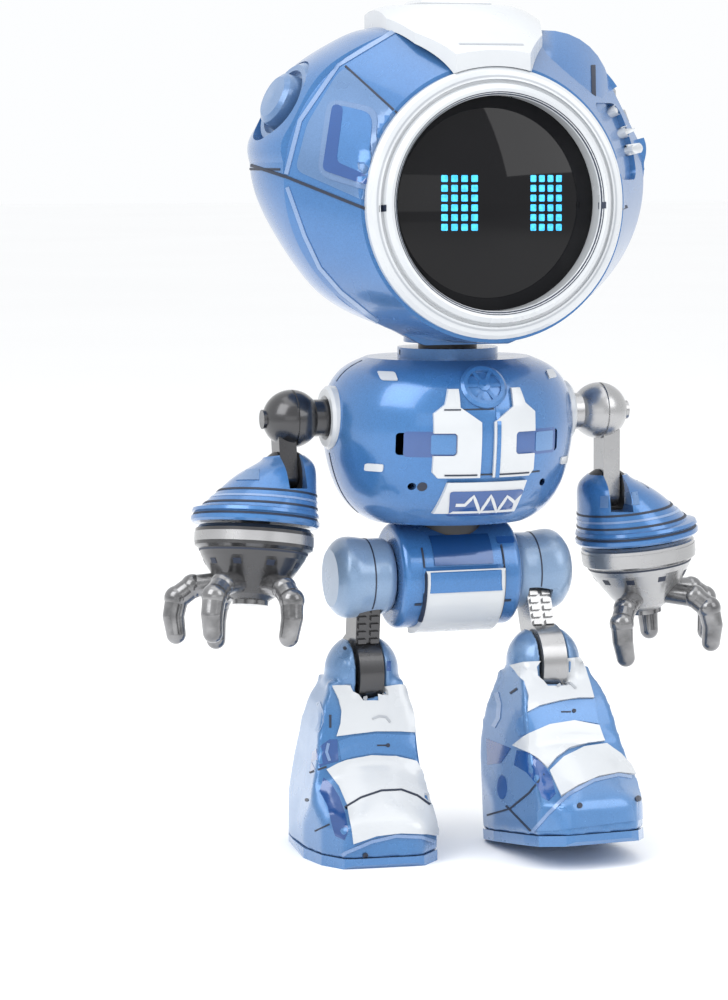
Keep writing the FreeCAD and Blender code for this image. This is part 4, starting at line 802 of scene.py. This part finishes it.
# Painted highlight along the boot's edge.
strip(foot, "ridge_blue", boot, sight, ((-16.4, 13.57), (-16.67, 12.34), (-16.26, 11.12)), 0.4, 0.16)
# Painted shade on the boot's outer flank.
patch(foot, "blue_glass", boot, sight, flank_shade, 0.08)
patch(foot, "band_blue", boot, sight, toe_plate, 0.12)
# Painted highlight along the top edge of the toe plate.
strip(foot, "ridge_blue", boot, sight, toe_plate[:7], 0.45, 0.22)
strip(foot, "groove", boot, sight, ((-14.09, 4.45), (-11.91, 5.81), (-9.19, 6.76), (-6.46, 6.9),
                                    (-4.29, 6.08), (-2.65, 4.86)), 0.24, 0.44)
strip(foot, "ring_shadow", boot, sight, ((-10.41, 16.83), (-9.46, 17.24), (-8.51, 17.11), (-7.96, 16.42)),
      0.3, 0.44)
strip(foot, "groove", boot, sight, ((-9.73, 13.29), (-8.51, 13.29)), 0.22, 0.16)
dot(foot, "groove", boot, sight, (-8.23, 13.29), 0.28, 0.2)
dot(foot, "ring_shadow", boot, sight, (-11.36, 19.69), 0.3, 0.44)
# Painted highlight down the boot's side.
strip(foot, "ridge_blue", boot, sight, ((-17.76, 19.28), (-17.35, 18.06), (-17.35, 16.56), (-17.9, 15.2)),
      0.6, 0.12)
strip(foot, "groove", boot, sight, ((-16.13, 17.51), (-16.13, 15.74)), 0.3, 0.10)
patch(foot, "groove", boot, sight, ((-5.24, 19.56), (-4.83, 19.01), (-4.56, 17.65), (-4.83, 16.56)), 0.42)
strip(foot, "groove", boot, sight, ((-18.3, 1.32), (-16.26, 2.27)), 0.2, 0.06)
strip(foot, "groove", boot, sight, ((-18.99, 9.48), (-16.67, 10.3)), 0.25, 0.06)
for spot in ((-11.36, -2.08), (-2.79, -1.81)):
    dot(foot, "groove", boot, sight, spot, 0.38, 0.2)
dot(foot, "groove", boot, sight, (-19.39, 5.67), 0.25)
dot(foot, "groove", boot, sight, (-14.09, 26.77), 0.25)
patch(foot, "blue_glass", boot, sight, ((-8.37, 25), (-7.83, 25), (-7.83, 23.64), (-8.37, 23.64)), 0.06,
      step=0.5)

boot = boot_surface("left")
foot = "foot_left"
upper_white = ((8.78, 24.45), (10.55, 24.86), (13.95, 25.14), (17.9, 25.54), (18.85, 23.91),
               (19.53, 21.73), (20.07, 19.83), (18.03, 19.83), (15.31, 19.42),
               (12.59, 18.74), (10.96, 17.92), (11.09, 20.1), (10.55, 22.14), (9.59, 23.5))
band = ((10.96, 17.79), (13.27, 18.74), (16.67, 19.56), (20.21, 19.69), (20.75, 16.29), (18.03, 16.7),
        (14.63, 16.29), (11.91, 15.2), (9.87, 14.52), (9.32, 15.34),
        (9.59, 16.83))
middle_white = ((9.19, 13.29), (11.23, 14.93), (13.95, 16.15), (17.35, 16.7), (20.75, 16.02),
                (21.57, 13.84), (19.39, 13.57), (16.67, 12.75), (15.04, 11.53),
                (13.81, 10.03), (12.59, 11.25), (10.96, 12.48))
lower_white = ((14.09, 9.62), (15.99, 11.53), (18.71, 12.89), (21.84, 13.43), (23.75, 12.07),
               (26.33, 9.08), (23.48, 9.35), (20.75, 8.8), (18.03, 7.58),
               (15.72, 6.08), (14.9, 7.85))
flank_shade = ((9.59, 12.61), (11.23, 12.34), (13, 10.85), (14.36, 8.8), (14.9, 6.49), (13.95, 5.54),
               (13, 6.08), (12.32, 7.85), (10.96, 9.48),
               (9.19, 10.57))
toe_plate = ((11.91, 1.32), (13.95, 3.77), (16.67, 6.35), (20.07, 8.26), (23.48, 9.08), (25.93, 8.67),
             (27.15, 7.17), (27.42, 4.86), (27.15, 2.95),
             (20.75, 2.13), (15.31, 1.45))
for white in (upper_white, middle_white, lower_white):
    patch(foot, "white_trim", boot, sight, white, WHITE_LIFT, step=0.7)
patch(foot, "band_blue", boot, sight, band, 0.12)
# Painted shade on the boot's outer flank.
patch(foot, "blue_glass", boot, sight, flank_shade, 0.08)
patch(foot, "band_blue", boot, sight, toe_plate, 0.12)
# Painted highlight along the top edge of the toe plate.
strip(foot, "ridge_blue", boot, sight, toe_plate[:7], 0.45, 0.22)
patch(foot, "blue_glass", boot, sight, ((5.38, 14.25), (8.78, 12.89), (7.42, 10.85), (5.51, 10.57)), 0.06)
strip(foot, "ring_shadow", boot, sight, ((14.9, 21.32), (15.86, 21.87), (16.81, 21.73), (17.49, 21.05)),
      0.3, 0.44)
strip(foot, "groove", boot, sight, ((15.58, 17.92), (16.94, 17.92)), 0.2, 0.16)
dot(foot, "groove", boot, sight, (17.35, 18.06), 0.28, 0.2)
patch(foot, "blue_glass", boot, sight, ellipse((7.55, 7.44), 0.65, 1.7, OVAL_STEPS), 0.08, step=0.6)
strip(foot, "groove", boot, sight, ((4.83, 3.36), (8.64, 4.45), (11.23, 6.63), (13.68, 9.62)), 0.25, 0.07)
strip(foot, "groove", boot, sight, ((8.1, 4.86), (11.5, 1.32)), 0.25, 0.07)
# Painted highlight down the boot's side.
strip(foot, "ridge_blue", boot, sight, ((6.74, 20.64), (7.15, 19.01), (7.01, 17.11), (6.33, 15.88)), 0.6,
      0.10)
strip(foot, "groove", boot, sight, ((8.64, 20.51), (9.59, 21.19)), 0.3, 0.08)
for spot in ((18.17, 4.86), (26.2, 5.81)):
    dot(foot, "groove", boot, sight, spot, 0.38, 0.2)
dot(foot, "groove", boot, sight, (9.32, 29.63), 0.28)

for side in SIDES:
    heel = surface(f"foot_shell_{side}", f"sole_plate_{side}")
    strip(f"foot_{side}", "groove", heel, BACK, ((-SIDES[side] * 15.5, 9.5), (-SIDES[side] * 8.5, 9.5)),
          0.25, 0.06)

build_details()


# ---------------------------------------------------------------- stage, camera and lights

def floor_material():
    """Pale matt sheet with the faintest mottling."""
    material, tree, shader = new_material("pale_floor")
    cloud = noise(tree, 4, 3.0)
    colour = ramp(tree, cloud.outputs["Fac"], ((0.3, grey(0.975)), (0.7, grey(0.99))))
    tree.links.new(colour.outputs["Color"], shader.inputs["Base Color"])
    shader.inputs["Roughness"].default_value = 0.9
    return material


def build_floor():
    """A large plain sheet that the robot stands on."""
    half_m = 6.0
    mesh = bpy.data.meshes.new("floor")
    corners = [(-half_m, -half_m, 0), (half_m, -half_m, 0), (half_m, half_m, 0), (-half_m, half_m, 0)]
    mesh.from_pydata(corners, [], [(0, 1, 2, 3)])
    mesh.materials.append(floor_material())
    floor = bpy.data.objects.new("floor", mesh)
    bpy.context.scene.collection.objects.link(floor)


def area_light(name, azimuth, elevation, distance, width, height, power, target=(0, 0, 60)):
    """A soft panel; azimuth 0 stands in front of the robot and positive goes to its left."""
    data = bpy.data.lights.new(name, "AREA")
    data.shape = "RECTANGLE"
    data.size = width * MM
    data.size_y = height * MM
    data.energy = power
    lamp = bpy.data.objects.new(name, data)
    bpy.context.scene.collection.objects.link(lamp)
    turn, rise = math.radians(azimuth), math.radians(elevation)
    aim = Vector((math.sin(turn) * math.cos(rise), -math.cos(turn) * math.cos(rise), math.sin(rise)))
    spot = Vector(target) + aim * distance
    lamp.location = spot * MM
    lamp.rotation_mode = "QUATERNION"
    lamp.rotation_quaternion = aim.to_track_quat("Z", "Y")


def build_lights():
    """Soft studio panels and a pale surround."""
    area_light("key_panel", -62, 38, 420, 260, 300, 1.0)
    area_light("fill_panel", 38, 30, 430, 240, 260, 0.5)
    area_light("top_panel", 0, 82, 420, 420, 420, 0.7)
    area_light("low_front", -20, 6, 620, 500, 160, 0.2)
    world = bpy.data.worlds.new("pale_surround")
    world.use_nodes = True
    background = world.node_tree.nodes["Background"]
    background.inputs["Color"].default_value = (0.98, 0.99, 1.0, 1.0)
    background.inputs["Strength"].default_value = 1.0
    bpy.context.scene.world = world


def build_camera():
    """The photograph's view: a long lens at the height of the face, aimed a little downward."""
    data = bpy.data.cameras.new("camera")
    data.lens = LENS
    data.shift_x = -0.0835
    data.shift_y = -0.071
    camera = bpy.data.objects.new("camera", data)
    bpy.context.scene.collection.objects.link(camera)
    turn = math.radians(CAMERA_AZIMUTH)
    spot = Vector((math.sin(turn) * CAMERA_DISTANCE, -math.cos(turn) * CAMERA_DISTANCE, CAMERA_HEIGHT))
    aim = spot - Vector((0, 0, CAMERA_TARGET_HEIGHT))
    camera.location = spot * MM
    camera.rotation_mode = "QUATERNION"
    camera.rotation_quaternion = aim.to_track_quat("Z", "Y")
    bpy.context.scene.camera = camera


build_floor()
build_lights()
build_camera()
bpy.context.scene.view_settings.view_transform = "Standard"
